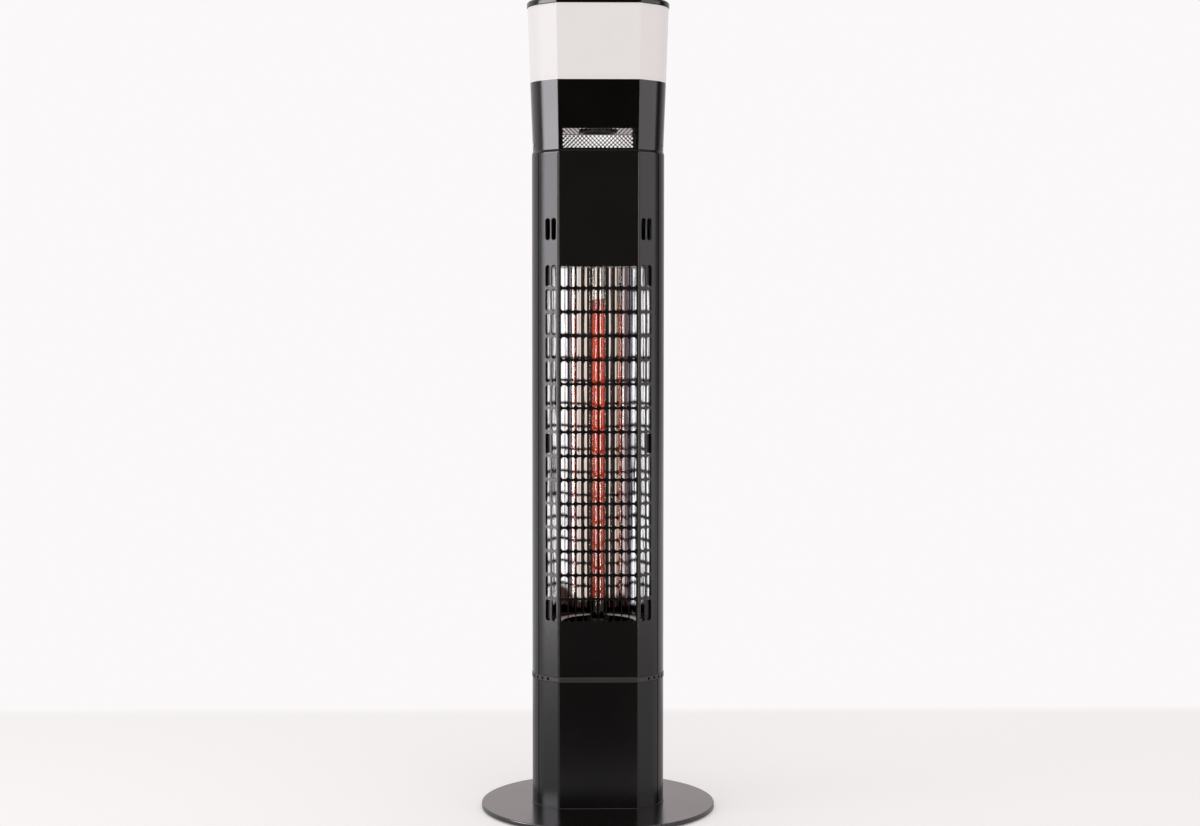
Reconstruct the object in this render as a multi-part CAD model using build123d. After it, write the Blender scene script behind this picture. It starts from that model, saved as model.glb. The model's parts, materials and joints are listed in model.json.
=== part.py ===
"""Free-standing infrared patio heater: a slim tower on a round foot.

Plan of the tower: a flat front and back, two facets beside each flat and a round side left and
right. From the floor up it is a steel foot, a lower housing, a vented collar, the heater body
with its punched grille, a mesh-walled speaker head, a translucent lamp and a cap.

Millimetres. The origin is on the floor under the middle of the foot, +X is to the right and the
front faces -Y.
"""
from build123d import *
import os
from math import atan, cos, degrees, dist, pi, radians, sin, sqrt, tan

os.makedirs("parts", exist_ok=True)

# ---- heights, from the floor up ----------------------------------------------------------------
pad_height = 2.0
plate_thickness = 6.0
flange_thickness = 2.0
lower_height = 171.0
collar_height = 7.8
body_height = 705.4
neck_height = 4.4
head_height = 92.2
lamp_height = 100.4
gasket_thickness = 0.8
cap_height = 8.0

plate_top = pad_height + plate_thickness
lower_bottom = plate_top + flange_thickness
collar_bottom = lower_bottom + lower_height
body_bottom = collar_bottom + collar_height
neck_bottom = body_bottom + body_height
head_bottom = neck_bottom + neck_height
lamp_bottom = head_bottom + head_height
gasket_bottom = lamp_bottom + lamp_height
cap_bottom = gasket_bottom + gasket_thickness
tower_top = cap_bottom + cap_height

# ---- plan of the tower -------------------------------------------------------------------------
tower_width = 180.0
tower_depth = 114.0
side_radius = 55.2
facet_turn = 42.0
fold_radius = 5.0
moulded_fold_radius = 1.5

turn = radians(facet_turn)
half_width = tower_width / 2
half_depth = tower_depth / 2
side_span = 90 - facet_turn
side_centre = half_width - side_radius
half_flat = side_centre + (side_radius - half_depth * cos(turn)) / sin(turn)
facet_length = (side_centre + side_radius * sin(turn) - half_flat) / cos(turn)

# ---- sheet covers and extruded rails -----------------------------------------------------------
sheet = 1.5
seat_gap = 0.1
lip_thickness = 1.6
rail_half_angle = 32.2
groove_width = 1.7
lip_half_angle = 49.0
port_angle = 20.0
port_radius = 3.4
port_bore = 3.6
port_sink = 0.8

rail_depth = sheet + seat_gap + lip_thickness
cover_edge_angle = rail_half_angle + degrees(groove_width / side_radius)
port_reach = side_radius - rail_depth - port_radius + port_sink

# ---- foot --------------------------------------------------------------------------------------
plate_diameter = 320.0
plate_edge_radius = 1.6
pad_diameter = 26.0
pad_inset = 21.0
pad_count = 6
flange_overhang = 0.9
flange_edge = 0.7
bolt_inset = 30.0
bolt_y = 20.0
bolt_diameter = 6.0
bolt_head_diameter = 12.0
bolt_length = 18.0
boss_diameter = 15.0
boss_height = 14.0
bolt_gap = 0.05

pad_circle = plate_diameter / 2 - pad_inset
bolt_x = half_width - bolt_inset

# ---- collar between the housings ---------------------------------------------------------------
collar_overhang = 0.5
collar_edge = 0.9
collar_wall = 3.0
collar_web = 2.0
vent_diameter = 4.0
vent_spacing = 10.2
vents_per_side = 11
vent_sides = 8
screw_length = 14.0
screw_diameter = 3.4
screw_head_diameter = 6.4
pin_length = 32.0
web_slot_length = 90.0
web_slot_width = 9.0
web_slot_spacing = 24.0

# ---- punched slots -----------------------------------------------------------------------------
slot_rows = 15
row_spacing = 32.2
column_spacing = 10.25
slot_width = 8.6
slot_corner = 2.4
rib_height = 3.2
fold_margin = 2.0
grille_sill = 74.0
facet_slot_width = 8.8
facet_slot_spacing = 10.8
facet_edge_gap = 0.3
louvre_height = 29.4
louvre_sill = 588.8
rear_louvre_rise = 40.0

slot_height = row_spacing - rib_height
slot_columns = int((2 * half_flat - slot_width - 2 * fold_margin) // column_spacing) + 1
facet_columns = int((facet_length - facet_slot_width) // facet_slot_spacing) + 1
facet_field = (facet_columns - 1) * facet_slot_spacing + facet_slot_width
facet_slot_centre = facet_length - facet_edge_gap - facet_field / 2
grille_bottom = body_bottom + grille_sill
grille_top = grille_bottom + slot_rows * row_spacing
grille_middle = (grille_bottom + grille_top) / 2
louvre_middle = body_bottom + louvre_sill + louvre_height / 2

# ---- reflector and heating element -------------------------------------------------------------
reflector_sheet = 0.8
reflector_side_gap = 16.0
reflector_slope = 0.8
reflector_bow = 50.0
reflector_folds = 32
flute_depth = 0.35
reflector_flange = 4.2
end_plate_inset = 3.2
notch_margin = 25.0
notch_reach = 56.0
bracket_sheet = 1.2
bracket_inset = 4.3
tube_setback = 47.0
tube_diameter = 23.0
tube_wall = 1.5
tube_clearance = 9.0
tube_overrun = 12.0
cap_grip = 7.0
ceramic_diameter = 28.0
ceramic_length = 20.0
lead_inset = 4.0
clip_wall = 1.2
clip_height = 8.0
clip_tab_width = 12.0
clip_tab_length = 6.4
coil_radius = 7.2
coil_turns = 24
cold_end_low = 34.3
cold_end_high = 56.3
strip_thickness = 1.1
strip_width = 3.0
lead_diameter = 1.6
fit_gap = 0.1

reflector_bottom = grille_bottom + end_plate_inset
reflector_top = grille_top - end_plate_inset
reflector_half_width = half_width - reflector_side_gap
notch_half_width = reflector_half_width - notch_margin
tube_y = tube_setback - half_depth
reflector_back = tube_y + tube_diameter / 2 + tube_clearance
tube_bottom = reflector_bottom - tube_overrun
tube_top = reflector_top + tube_overrun
coil_bottom = tube_bottom + cold_end_low
coil_length = tube_top - cold_end_high - coil_bottom

# ---- upper bay ---------------------------------------------------------------------------------
shield_sheet = 1.0
shield_gap = 0.2
shield_rise = 30.0
cutout_diameter = 16.0
cutout_height = 7.0
cutout_tab_spacing = 7.0
cutout_tab_sheet = 0.8
cutout_tab_width = 6.3
cutout_tab_height = 8.0

shield_bottom = grille_top + shield_rise

# ---- head --------------------------------------------------------------------------------------
head_draw_in = 1.4
head_flare = 3.5
head_wall = 2.5
neck_draw_in = 1.5
neck_edge_inset = 0.2
neck_groove_height = 1.0
neck_groove_depth = 1.2
neck_wall = 4.0
neck_floor = 2.0
neck_tongue = 11.0
window_margin = 4.5
window_height = 25.8
window_sill = 1.7
mesh_sheet = 1.0
mesh_border = 3.0
mesh_spacing = 8.4
mesh_wire = 1.3
pillar_inset = 26.0
pillar_y = 22.0
pillar_diameter = 8.0
baffle_gap = 0.4
baffle_thickness = 3.0
ledge_width = 3.0
ledge_height = 2.0
standoff_height = 5.0
standoff_diameter = 5.0
board_sheet = 1.6
board_inset = 36.0
head_screw_angle = 15.0
head_screw_rise = 8.0
head_screw_diameter = 3.0
head_screw_length = 8.0
head_screw_head = 5.0
head_screw_head_height = 1.2

flare_angle = atan(head_flare / head_height)
window_width = 2 * (half_flat - window_margin)
pillar_x = half_width - pillar_inset
window_bottom = head_bottom + window_sill
window_top = window_bottom + window_height
baffle_bottom = window_top + baffle_gap
baffle_top = baffle_bottom + baffle_thickness

# ---- loudspeaker, firing down ------------------------------------------------------------------
speaker_diameter = 52.0
speaker_rim = 2.4
speaker_opening = 46.0
basket_depth = 17.0
basket_wall = 1.2
magnet_diameter = 40.0
magnet_height = 11.0
cone_diameter = 36.0
cone_throat = 13.0
cone_depth = 10.0
cone_wall = 0.8
cone_recess = 1.4
voice_coil_height = 3.0
dust_cap_drop = 2.0
dust_cap_dome = 2.0
surround_gap = 0.3
surround_lip = 1.2
surround_sheet = 1.0
surround_roll = 0.8
basket_bore_gap = 1.5
basket_window_width = 14.0
basket_window_sill = 2.0
basket_window_lintel = 4.0

# ---- lamp --------------------------------------------------------------------------------------
lamp_flare = 3.5
lamp_wall = 2.2
lamp_lip_height = 3.6
lamp_lip_groove = 0.5
gasket_margin = 0.3
tray_thickness = 4.0
tray_gap = 0.2
tray_rim_height = 4.0
tray_rim_wall = 1.6
column_side = 30.0
column_wall = 2.0
column_head_gap = 8.0
strip_board_width = 20.0
strip_board_sheet = 1.2
led_side = 5.0
led_height = 1.0
leds_per_board = 5
tie_diameter = 6.0
tie_head_diameter = 12.0
tie_head_height = 3.0

# ---- cap ---------------------------------------------------------------------------------------
cap_overhang = 1.0
cap_edge_radius = 4.0
cap_skin = 4.0
cap_rib_wall = 2.0
cap_rib_depth = 4.0
cap_boss_diameter = 14.0

lamp_top_inset = head_draw_in - head_flare - lamp_flare

# ---- fittings on the back ----------------------------------------------------------------------
cover_screw_angle = 41.0
lower_screw_margin = 28.0
upper_screw_margin = 36.0
cover_screw_diameter = 3.0
cover_screw_head = 6.4
cover_screw_head_height = 1.8
cover_screw_length = 7.0
switch_x = 30.0
switch_rise = 62.0
switch_width = 15.0
switch_height = 21.0
switch_bezel = 2.0
switch_depth = 16.0
switch_floor = 2.0
switch_cut_width = 12.6
switch_cut_height = 18.8
rocker_tilt = 11.0
rocker_radius = 8.2
rocker_width = 9.6
rocker_dip = 1.6
rocker_gap = 0.3
rocker_recess = 0.2
trunnion_diameter = 2.4
trunnion_length = 1.0
gland_x = 0.0
gland_rise = 26.0
gland_thread = 16.0
gland_hex = 20.0
gland_hex_height = 6.0
gland_dome_height = 14.0
gland_dome_step = 0.6
gland_tip_taper = 1.5
gland_bore = 8.6
gland_nut_hex = 20.0
gland_nut_height = 4.0
gland_inner_length = 10.0

# ---- inside the lower housing ------------------------------------------------------------------
terminal_inset = 44.0
terminal_setback = 21.0
terminal_length = 32.0
terminal_width = 15.0
terminal_height = 18.0
terminal_ways = 3
loom_inset = 34.0
loom_setback = 21.0
loom_diameter = 6.0
loom_hole = 7.0
tip_x = 0.0
tip_y = -14.0
tip_pivot_rise = 52.0
tip_cheek_gap = 16.0
tip_sheet = 1.5
tip_base_length = 34.0
tip_cheek_width = 16.0
pendulum_rod = 3.0
pendulum_length = 26.0
pendulum_weight = 13.0
pendulum_weight_height = 10.0
pendulum_hub = 7.0
tip_pin_diameter = 3.0
tip_pin_gap = 0.05
pendulum_side_gap = 2.0
microswitch_rise = 8.0
microswitch_length = 14.0
microswitch_width = 7.0
microswitch_height = 11.0
microswitch_tab_spacing = 8.0
microswitch_tab_sheet = 0.8
microswitch_tab_width = 3.0
microswitch_tab_height = 4.0

terminal_x = terminal_inset - half_width
terminal_y = half_depth - terminal_setback
loom_x = loom_inset - half_width
loom_y = half_depth - loom_setback


# ---- shared shapes -----------------------------------------------------------------------------
def outline(inset=0.0, crease=0.0):
    """Plan of the tower drawn in all round by inset, with the folds rounded by crease."""
    flat = half_flat - inset * tan(turn / 2)
    depth = half_depth - inset
    radius = side_radius - inset
    right = CenterArc((side_centre, 0), radius, -side_span, 2 * side_span)
    left = CenterArc((-side_centre, 0), radius, 180 - side_span, 2 * side_span)
    back = Polyline(right @ 1, (flat, depth), (-flat, depth), left @ 0)
    front = Polyline(left @ 1, (-flat, -depth), (flat, -depth), right @ 0)
    face = make_face([*right.edges(), *back.edges(), *left.edges(), *front.edges()])
    if crease > 0:
        folds = [v for v in face.vertices() if abs(abs(v.Y) - depth) < 0.01]
        face = fillet(folds, crease)
    return face


def slab(profile, bottom, height):
    """A plan profile raised from bottom by height."""
    return extrude(Pos(0, 0, bottom) * profile, amount=height, dir=(0, 0, 1))


def flared(low_inset, high_inset, bottom, height, crease=moulded_fold_radius):
    """A block whose plan grows from one inset to another."""
    low = Pos(0, 0, bottom) * outline(low_inset, crease)
    high = Pos(0, 0, bottom + height) * outline(high_inset, crease)
    return loft([low.face(), high.face()], ruled=True)


def side_wedge(side, half_angle):
    """A plan sector that opens sideways from the centre of a round side."""
    run = tower_width * cos(radians(half_angle))
    rise = tower_width * sin(radians(half_angle))
    tip = (side * side_centre, 0)
    low = (side * (side_centre + run), -rise)
    high = (side * (side_centre + run), rise)
    return make_face(Polyline(tip, low, high, close=True).edges())


def round_at(x, y, diameter, bottom, height):
    """An upright cylinder."""
    return slab(Pos(x, y) * Circle(diameter / 2), bottom, height)


def box_at(x, y, bottom, width, depth, height):
    """A block centred on x and y that stands on bottom."""
    return Pos(x, y, bottom + height / 2) * Box(width, depth, height)


def port_centres(side):
    """Plan places of the two screw ports in a side rail."""
    angle = radians(port_angle)
    x = side * (side_centre + port_reach * cos(angle))
    y = port_reach * sin(angle)
    return [(x, -y), (x, y)]


def all_ports():
    return port_centres(-1) + port_centres(1)


def side_plane(side, angle, radius, height, droop=0.0):
    """A plane on the round side at an angle from its middle, facing outwards and down by droop."""
    a = radians(angle)
    x = side * (side_centre + radius * cos(a))
    y = radius * sin(a)
    normal = (side * cos(a) * cos(droop), sin(a) * cos(droop), -sin(droop))
    across = (-side * sin(a), cos(a), 0)
    return Plane(origin=(x, y, height), x_dir=across, z_dir=normal)


def spin_up(points):
    """A round solid about the Z axis from (radius, height) points."""
    profile = Plane.XZ * make_face(Polyline(*points, close=True).edges())
    return revolve(profile, Axis.Z, 360)


# ---- foot --------------------------------------------------------------------------------------
def bolt_places():
    return [(x, y) for x in (-bolt_x, bolt_x) for y in (-bolt_y, bolt_y)]


def countersunk(diameter, head_diameter, length, bottom):
    """A screw that points up, with its flat head at the bottom."""
    head_height = (head_diameter - diameter) / 2
    return Pos(0, 0, bottom) * spin_up(
        [
            (0, 0),
            (head_diameter / 2, 0),
            (diameter / 2, head_height),
            (diameter / 2, length),
            (0, length),
        ]
    )


def make_base_plate():
    plate = round_at(0, 0, plate_diameter, pad_height, plate_thickness)
    rim = plate.edges().filter_by(GeomType.CIRCLE).sort_by(Axis.Z)[-1]
    plate = fillet(rim, plate_edge_radius)
    sink = countersunk(
        bolt_diameter + 2 * bolt_gap,
        bolt_head_diameter + 2 * bolt_gap,
        plate_thickness,
        pad_height,
    )
    for x, y in bolt_places():
        plate -= Pos(x, y, 0) * sink
    return plate


def make_base_feet():
    pad = round_at(pad_circle, 0, pad_diameter, 0, pad_height)
    return [Rot(0, 0, 360 / pad_count * (i + 0.5)) * pad for i in range(pad_count)]


def make_base_bolts():
    bolt = countersunk(bolt_diameter, bolt_head_diameter, bolt_length, pad_height)
    return [Pos(x, y, 0) * bolt for x, y in bolt_places()]


def make_foot_flange():
    flange = slab(outline(-flange_overhang, fold_radius), plate_top, flange_thickness)
    flange = chamfer(flange.faces().sort_by(Axis.Z)[-1].edges(), flange_edge)
    for x, y in bolt_places():
        flange += round_at(x, y, boss_diameter, lower_bottom, boss_height)
        flange -= round_at(
            x, y, bolt_diameter + 2 * bolt_gap, plate_top, bolt_length - plate_thickness + fit_gap
        )
    sink = countersunk(
        screw_diameter + fit_gap, screw_head_diameter + fit_gap, flange_thickness, plate_top
    )
    for x, y in all_ports():
        flange -= Pos(x, y, 0) * sink
    return flange


# ---- covers and rails --------------------------------------------------------------------------
def cover_profile(face):
    """Plan of a folded sheet cover; face is -1 for the front and 1 for the back."""
    band = outline(0, fold_radius) - outline(sheet, fold_radius - sheet)
    for side in (-1, 1):
        band -= side_wedge(side, cover_edge_angle)
    half_plan = Pos(0, face * tower_width / 2) * Rectangle(2 * tower_width, tower_width)
    return band & half_plan


def rail_profile(side):
    """Plan of an extruded side rail: outer skin, sunk lips behind the covers, screw ports."""
    skin = (outline() - outline(rail_depth)) & side_wedge(side, rail_half_angle)
    lips = (outline(sheet + seat_gap) - outline(rail_depth)) & side_wedge(side, lip_half_angle)
    profile = skin + lips
    for centre in port_centres(side):
        profile += Pos(*centre) * Circle(port_radius)
    for centre in port_centres(side):
        profile -= Pos(*centre) * Circle(port_bore / 2)
    return profile


def cover_screw_heights():
    lower = [lower_bottom + lower_screw_margin, collar_bottom - lower_screw_margin]
    upper = [
        body_bottom + upper_screw_margin,
        body_bottom + body_height / 2,
        neck_bottom - upper_screw_margin,
    ]
    return lower, upper


def cover_screw_planes(heights):
    return [
        side_plane(side, cover_screw_angle, side_radius, z) for side in (-1, 1) for z in heights
    ]


def screw_holes(planes):
    """Drillings for the cover screws, through the cover and the lip behind it."""
    drill = Cylinder(cover_screw_diameter / 2 + fit_gap / 2, 4 * rail_depth)
    return [plane * drill for plane in planes]


def make_rail(side, bottom, height, heights):
    rail = slab(rail_profile(side), bottom, height)
    return rail - screw_holes(cover_screw_planes(heights))


def make_lower_front_cover():
    return slab(cover_profile(-1), lower_bottom, lower_height)


def make_lower_back_cover():
    cover = slab(cover_profile(1), lower_bottom, lower_height)
    cover -= screw_holes(cover_screw_planes(cover_screw_heights()[0]))
    cover -= box_at(
        switch_x,
        half_depth,
        lower_bottom + switch_rise - switch_cut_height / 2 - fit_gap,
        switch_cut_width + 2 * fit_gap,
        4 * sheet,
        switch_cut_height + 2 * fit_gap,
    )
    gland_hole = Cylinder(gland_thread / 2 + fit_gap, 4 * sheet, rotation=(90, 0, 0))
    return cover - Pos(gland_x, half_depth, lower_bottom + gland_rise) * gland_hole


def make_cover_screws():
    lower, upper = cover_screw_heights()
    screws = []
    for plane in cover_screw_planes(lower + upper):
        shank = plane * Pos(0, 0, -cover_screw_length / 2) * Cylinder(
            cover_screw_diameter / 2, cover_screw_length
        )
        head = plane * Pos(0, 0, cover_screw_head_height / 2) * Cylinder(
            cover_screw_head / 2, cover_screw_head_height
        )
        screws.append(shank + head)
    return screws


# ---- collar and rail fasteners -----------------------------------------------------------------
def make_vent_collar():
    ring = slab(outline(-collar_overhang, fold_radius), collar_bottom, collar_height)
    rims = ring.faces().sort_by(Axis.Z)
    ring = chamfer(rims[0].edges() + rims[-1].edges(), collar_edge)
    cavity = outline(collar_wall)
    web_bottom = collar_bottom + (collar_height - collar_web) / 2
    ring -= slab(cavity, collar_bottom, collar_height)
    web = slab(outline(collar_wall - fit_gap), web_bottom, collar_web)
    web -= round_at(loom_x, loom_y, loom_hole, web_bottom, collar_web)
    web_slot = SlotOverall(web_slot_length, web_slot_width)
    for y in (-web_slot_spacing, 0, web_slot_spacing):
        web -= slab(Pos(0, y) * web_slot, web_bottom, collar_web)
    ring += web
    for x, y in all_ports():
        ring += round_at(x, y, 2 * port_radius, collar_bottom, collar_height)
    for x, y in all_ports():
        ring -= round_at(x, y, screw_diameter + fit_gap, collar_bottom, collar_height)
    step = degrees(vent_spacing / side_radius)
    hole = RegularPolygon(vent_diameter / 2, vent_sides, major_radius=False)
    drill = extrude(hole, amount=2 * collar_wall, both=True)
    middle = collar_bottom + collar_height / 2
    vents = []
    for side in (-1, 1):
        for i in range(vents_per_side):
            angle = step * (i - (vents_per_side - 1) / 2)
            vents.append(side_plane(side, angle, side_radius, middle) * drill)
    return ring - vents


def make_rail_pins():
    bottom = collar_bottom + collar_height / 2 - pin_length / 2
    return [round_at(x, y, screw_diameter, bottom, pin_length) for x, y in all_ports()]


def make_rail_screws():
    up = countersunk(screw_diameter, screw_head_diameter, screw_length, plate_top)
    down = Pos(0, 0, neck_bottom + neck_floor) * Rot(180, 0, 0) * countersunk(
        screw_diameter, screw_head_diameter, screw_length, 0
    )
    return [Pos(x, y, 0) * screw for screw in (up, down) for x, y in all_ports()]


# ---- heater body -------------------------------------------------------------------------------
def front_plane():
    return Plane(origin=(0, -half_depth, 0), x_dir=(1, 0, 0), z_dir=(0, -1, 0))


def facet_plane(side, face=-1):
    """Plane on a facet, with its origin on the fold beside the flat."""
    return Plane(
        origin=(side * half_flat, face * half_depth, 0),
        x_dir=(-face * cos(turn), side * sin(turn), 0),
        z_dir=(side * sin(turn), face * cos(turn), 0),
    )


def punch(plane, across, height, field):
    """Slots of a field, as tools that pass right through the sheet."""
    return [
        extrude(plane * Pos(across, height) * slot, amount=3 * sheet, both=True) for slot in field
    ]


def slot_field(columns, pitch, rows, width, height):
    """A grid of upright slots with clipped corners."""
    slot = chamfer(Rectangle(width, height).vertices(), slot_corner)
    return GridLocations(pitch, row_spacing, columns, rows) * slot


def facet_slots(face, rows, height, middle):
    """Slots on both facets beside a flat."""
    tools = []
    for side in (-1, 1):
        across = -side * face * facet_slot_centre
        field = slot_field(facet_columns, facet_slot_spacing, rows, facet_slot_width, height)
        tools += punch(facet_plane(side, face), across, middle, field)
    return tools


def make_front_grille():
    panel = slab(cover_profile(-1), body_bottom, body_height)
    tools = punch(
        front_plane(),
        0,
        grille_middle,
        slot_field(slot_columns, column_spacing, slot_rows, slot_width, slot_height),
    )
    tools += facet_slots(-1, slot_rows, slot_height, grille_middle)
    tools += facet_slots(-1, 1, louvre_height, louvre_middle)
    return panel - tools


def make_rear_cover():
    cover = slab(cover_profile(1), body_bottom, body_height)
    cover -= screw_holes(cover_screw_planes(cover_screw_heights()[1]))
    return cover - facet_slots(1, 1, louvre_height, louvre_middle + rear_louvre_rise)


def trough_fall(x):
    """How far the trough comes forward from its back at a distance from the middle."""
    return reflector_slope * reflector_bow * (sqrt(1 + (x / reflector_bow) ** 2) - 1)


def reflector_mouth():
    return reflector_back - trough_fall(reflector_half_width)


def trough_profile(growth):
    """Area inside the trough, grown by a wall: long flat flutes folded along a hyperbola."""
    half = reflector_half_width + growth
    points = []
    for i in range(reflector_folds + 1):
        x = half * (2 * i / reflector_folds - 1)
        y = reflector_back + growth - trough_fall(x) - flute_depth * (i % 2)
        points.append((x, y))
    return make_face(Polyline(*points, close=True).edges())


def make_reflector():
    profile = trough_profile(reflector_sheet) - trough_profile(0)
    flange_middle = reflector_half_width + reflector_flange / 2
    flange = Rectangle(reflector_flange, reflector_sheet)
    for side in (-1, 1):
        profile += Pos(side * flange_middle, reflector_mouth() + reflector_sheet / 2) * flange
    return slab(profile, reflector_bottom, reflector_top - reflector_bottom)


def end_plate_profile():
    """Closes the trough at one end; a curved notch leaves room for the tube in front."""
    reach = tower_depth / 2
    start = reflector_mouth() + reflector_sheet
    front = Pos(0, start - reach / 2) * Rectangle(2 * reflector_half_width, reach)
    profile = trough_profile(reflector_sheet) + (outline(rail_depth + shield_gap) & front)
    profile -= Pos(0, -half_depth) * Ellipse(notch_half_width, notch_reach)
    profile -= Pos(0, tube_y) * Circle(ceramic_diameter / 2 + clip_wall + fit_gap)
    return profile


def make_reflector_bottom_plate():
    return slab(end_plate_profile(), reflector_bottom - reflector_sheet, reflector_sheet)


def make_reflector_top_plate():
    return slab(end_plate_profile(), reflector_top, reflector_sheet)


def make_reflector_brackets():
    """Black strips that stand behind the outer slots and hold the reflector's flanges."""
    pieces = []
    start = facet_slot_centre + facet_slot_spacing / 2 - facet_slot_width / 2
    for side in (-1, 1):
        plane = facet_plane(side)
        near = plane.from_local_coords((side * start, 0, -bracket_inset))
        far = plane.from_local_coords((side * (facet_length - sheet), 0, -bracket_inset))
        seat_y = reflector_mouth() - bracket_sheet / 2
        seat_x = side * (reflector_half_width + bracket_sheet)
        end_x = side * (reflector_half_width + reflector_flange - bracket_sheet)
        path = Polyline((near.X, near.Y), (far.X, far.Y), (seat_x, seat_y), (end_x, seat_y))
        strip = trace(path, bracket_sheet)
        for row in (0, slot_rows // 2, slot_rows - 1):
            bottom = grille_bottom + row * row_spacing + rib_height
            bottom = max(bottom, reflector_bottom + fit_gap)
            top = min(bottom + slot_height - rib_height, reflector_top - fit_gap)
            pieces.append(slab(strip, bottom, top - bottom))
    return pieces


def make_quartz_tube():
    ring = Pos(0, tube_y) * (Circle(tube_diameter / 2) - Circle(tube_diameter / 2 - tube_wall))
    return slab(ring, tube_bottom, tube_top - tube_bottom)


def coil_point(angle):
    """Point and direction on the filament's winding at an angle in radians."""
    climb = coil_length / (coil_turns * 2 * pi)
    point = Vector(coil_radius * cos(angle), coil_radius * sin(angle), climb * angle)
    ahead = Vector(-coil_radius * sin(angle), coil_radius * cos(angle), climb).normalized()
    return point, ahead


def biarc(start, start_way, end, end_way):
    """Two arcs that join two points and meet without a kink."""
    span = end - start
    ways = start_way + end_way
    slack = 2 * (1 - start_way.dot(end_way))
    along = span.dot(ways)
    reach = (-along + sqrt(along**2 + slack * span.dot(span))) / slack
    near = start + start_way * reach
    far = end - end_way * reach
    middle = (near + far) * 0.5
    return [
        TangentArc(start, middle, tangent=start_way),
        TangentArc(middle, end, tangent=far - near),
    ]


def least_turn_gap(path, samples):
    """Least distance between points of the winding that are over half a turn apart."""
    points = [tuple(path.position_at(i / samples)) for i in range(samples + 1)]
    skip = int(samples / coil_turns / 2) + 1
    least = coil_length
    for i, here in enumerate(points):
        for there in points[i + skip : i + 3 * skip]:
            least = min(least, dist(here, there))
    return least


def make_heating_filament():
    """A flat strip wound in a helix, kept edge-on to the tube's axis."""
    edges = []
    steps = coil_turns * 2
    for i in range(steps):
        start, start_way = coil_point(i * pi)
        end, end_way = coil_point((i + 1) * pi)
        edges += [arc.edge() for arc in biarc(start, start_way, end, end_way)]
    start, way = coil_point(0)
    section = Plane(origin=start, x_dir=(1, 0, 0), z_dir=way) * Rectangle(
        strip_thickness, strip_width
    )
    path = Wire(edges)
    axis = Edge.make_line((0, 0, 0), (0, 0, coil_length))
    coil = sweep(section, path=path, binormal=axis)
    samples_per_turn = 24
    gap = least_turn_gap(path, coil_turns * samples_per_turn) - strip_width
    print("heating filament, least gap between turns in mm:", round(gap, 2))
    return Pos(0, tube_y, coil_bottom) * coil


def make_element_leads():
    bottom = tube_bottom - ceramic_length + cap_grip + lead_inset
    top = tube_top + ceramic_length - cap_grip - lead_inset
    low_end = coil_bottom - strip_width / 2 - fit_gap
    high_start = coil_bottom + coil_length + strip_width / 2 + fit_gap
    return [
        round_at(coil_radius, tube_y, lead_diameter, bottom, low_end - bottom),
        round_at(coil_radius, tube_y, lead_diameter, high_start, top - high_start),
    ]


def make_element_end_caps():
    """Ceramic caps: a socket for the tube and a hole for the lead."""
    low = round_at(0, tube_y, ceramic_diameter, tube_bottom + cap_grip - ceramic_length, ceramic_length)
    low -= round_at(0, tube_y, tube_diameter + fit_gap, tube_bottom, cap_grip)
    low -= round_at(
        coil_radius, tube_y, lead_diameter + fit_gap, tube_bottom - ceramic_length, ceramic_length
    )
    high = round_at(0, tube_y, ceramic_diameter, tube_top - cap_grip, ceramic_length)
    high -= round_at(0, tube_y, tube_diameter + fit_gap, tube_top - cap_grip, cap_grip)
    high -= round_at(coil_radius, tube_y, lead_diameter + fit_gap, tube_top, ceramic_length)
    return [low, high]


def make_element_clips():
    """Sheet rings round the ceramic caps, each with a tab up to its end plate."""
    inner = ceramic_diameter / 2 + fit_gap / 2
    ring = Pos(0, tube_y) * (Circle(inner + clip_wall) - Circle(inner))
    tab_front = tube_y + inner + clip_wall / 2
    clips = []
    plates = (
        (reflector_bottom - reflector_sheet, -1),
        (reflector_top + reflector_sheet, 1),
    )
    for seat, way in plates:
        ring_bottom = min(seat + way * clip_wall, seat + way * (clip_wall + clip_height))
        clip = slab(ring, ring_bottom, clip_height)
        strap_bottom = min(seat, seat + way * (clip_wall + clip_height))
        clip += box_at(
            0,
            tab_front + clip_wall / 2,
            strap_bottom,
            clip_tab_width,
            clip_wall,
            clip_wall + clip_height,
        )
        foot_bottom = min(seat, seat + way * clip_wall)
        clip += box_at(
            0,
            tab_front + clip_tab_length / 2,
            foot_bottom,
            clip_tab_width,
            clip_tab_length,
            clip_wall,
        )
        clips.append(clip)
    return clips


def make_heat_shield():
    profile = outline(rail_depth + shield_gap)
    for x, y in all_ports():
        profile -= Pos(x, y) * Circle(port_radius + shield_gap)
    profile -= Pos(loom_x, loom_y) * Circle(loom_hole / 2)
    return slab(profile, shield_bottom, shield_sheet)


def make_thermal_cutout():
    seat = shield_bottom + shield_sheet
    body = round_at(0, 0, cutout_diameter, seat, cutout_height)
    for side in (-1, 1):
        body += box_at(
            side * cutout_tab_spacing / 2,
            0,
            seat + cutout_height,
            cutout_tab_sheet,
            cutout_tab_width,
            cutout_tab_height,
        )
    return body


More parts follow.
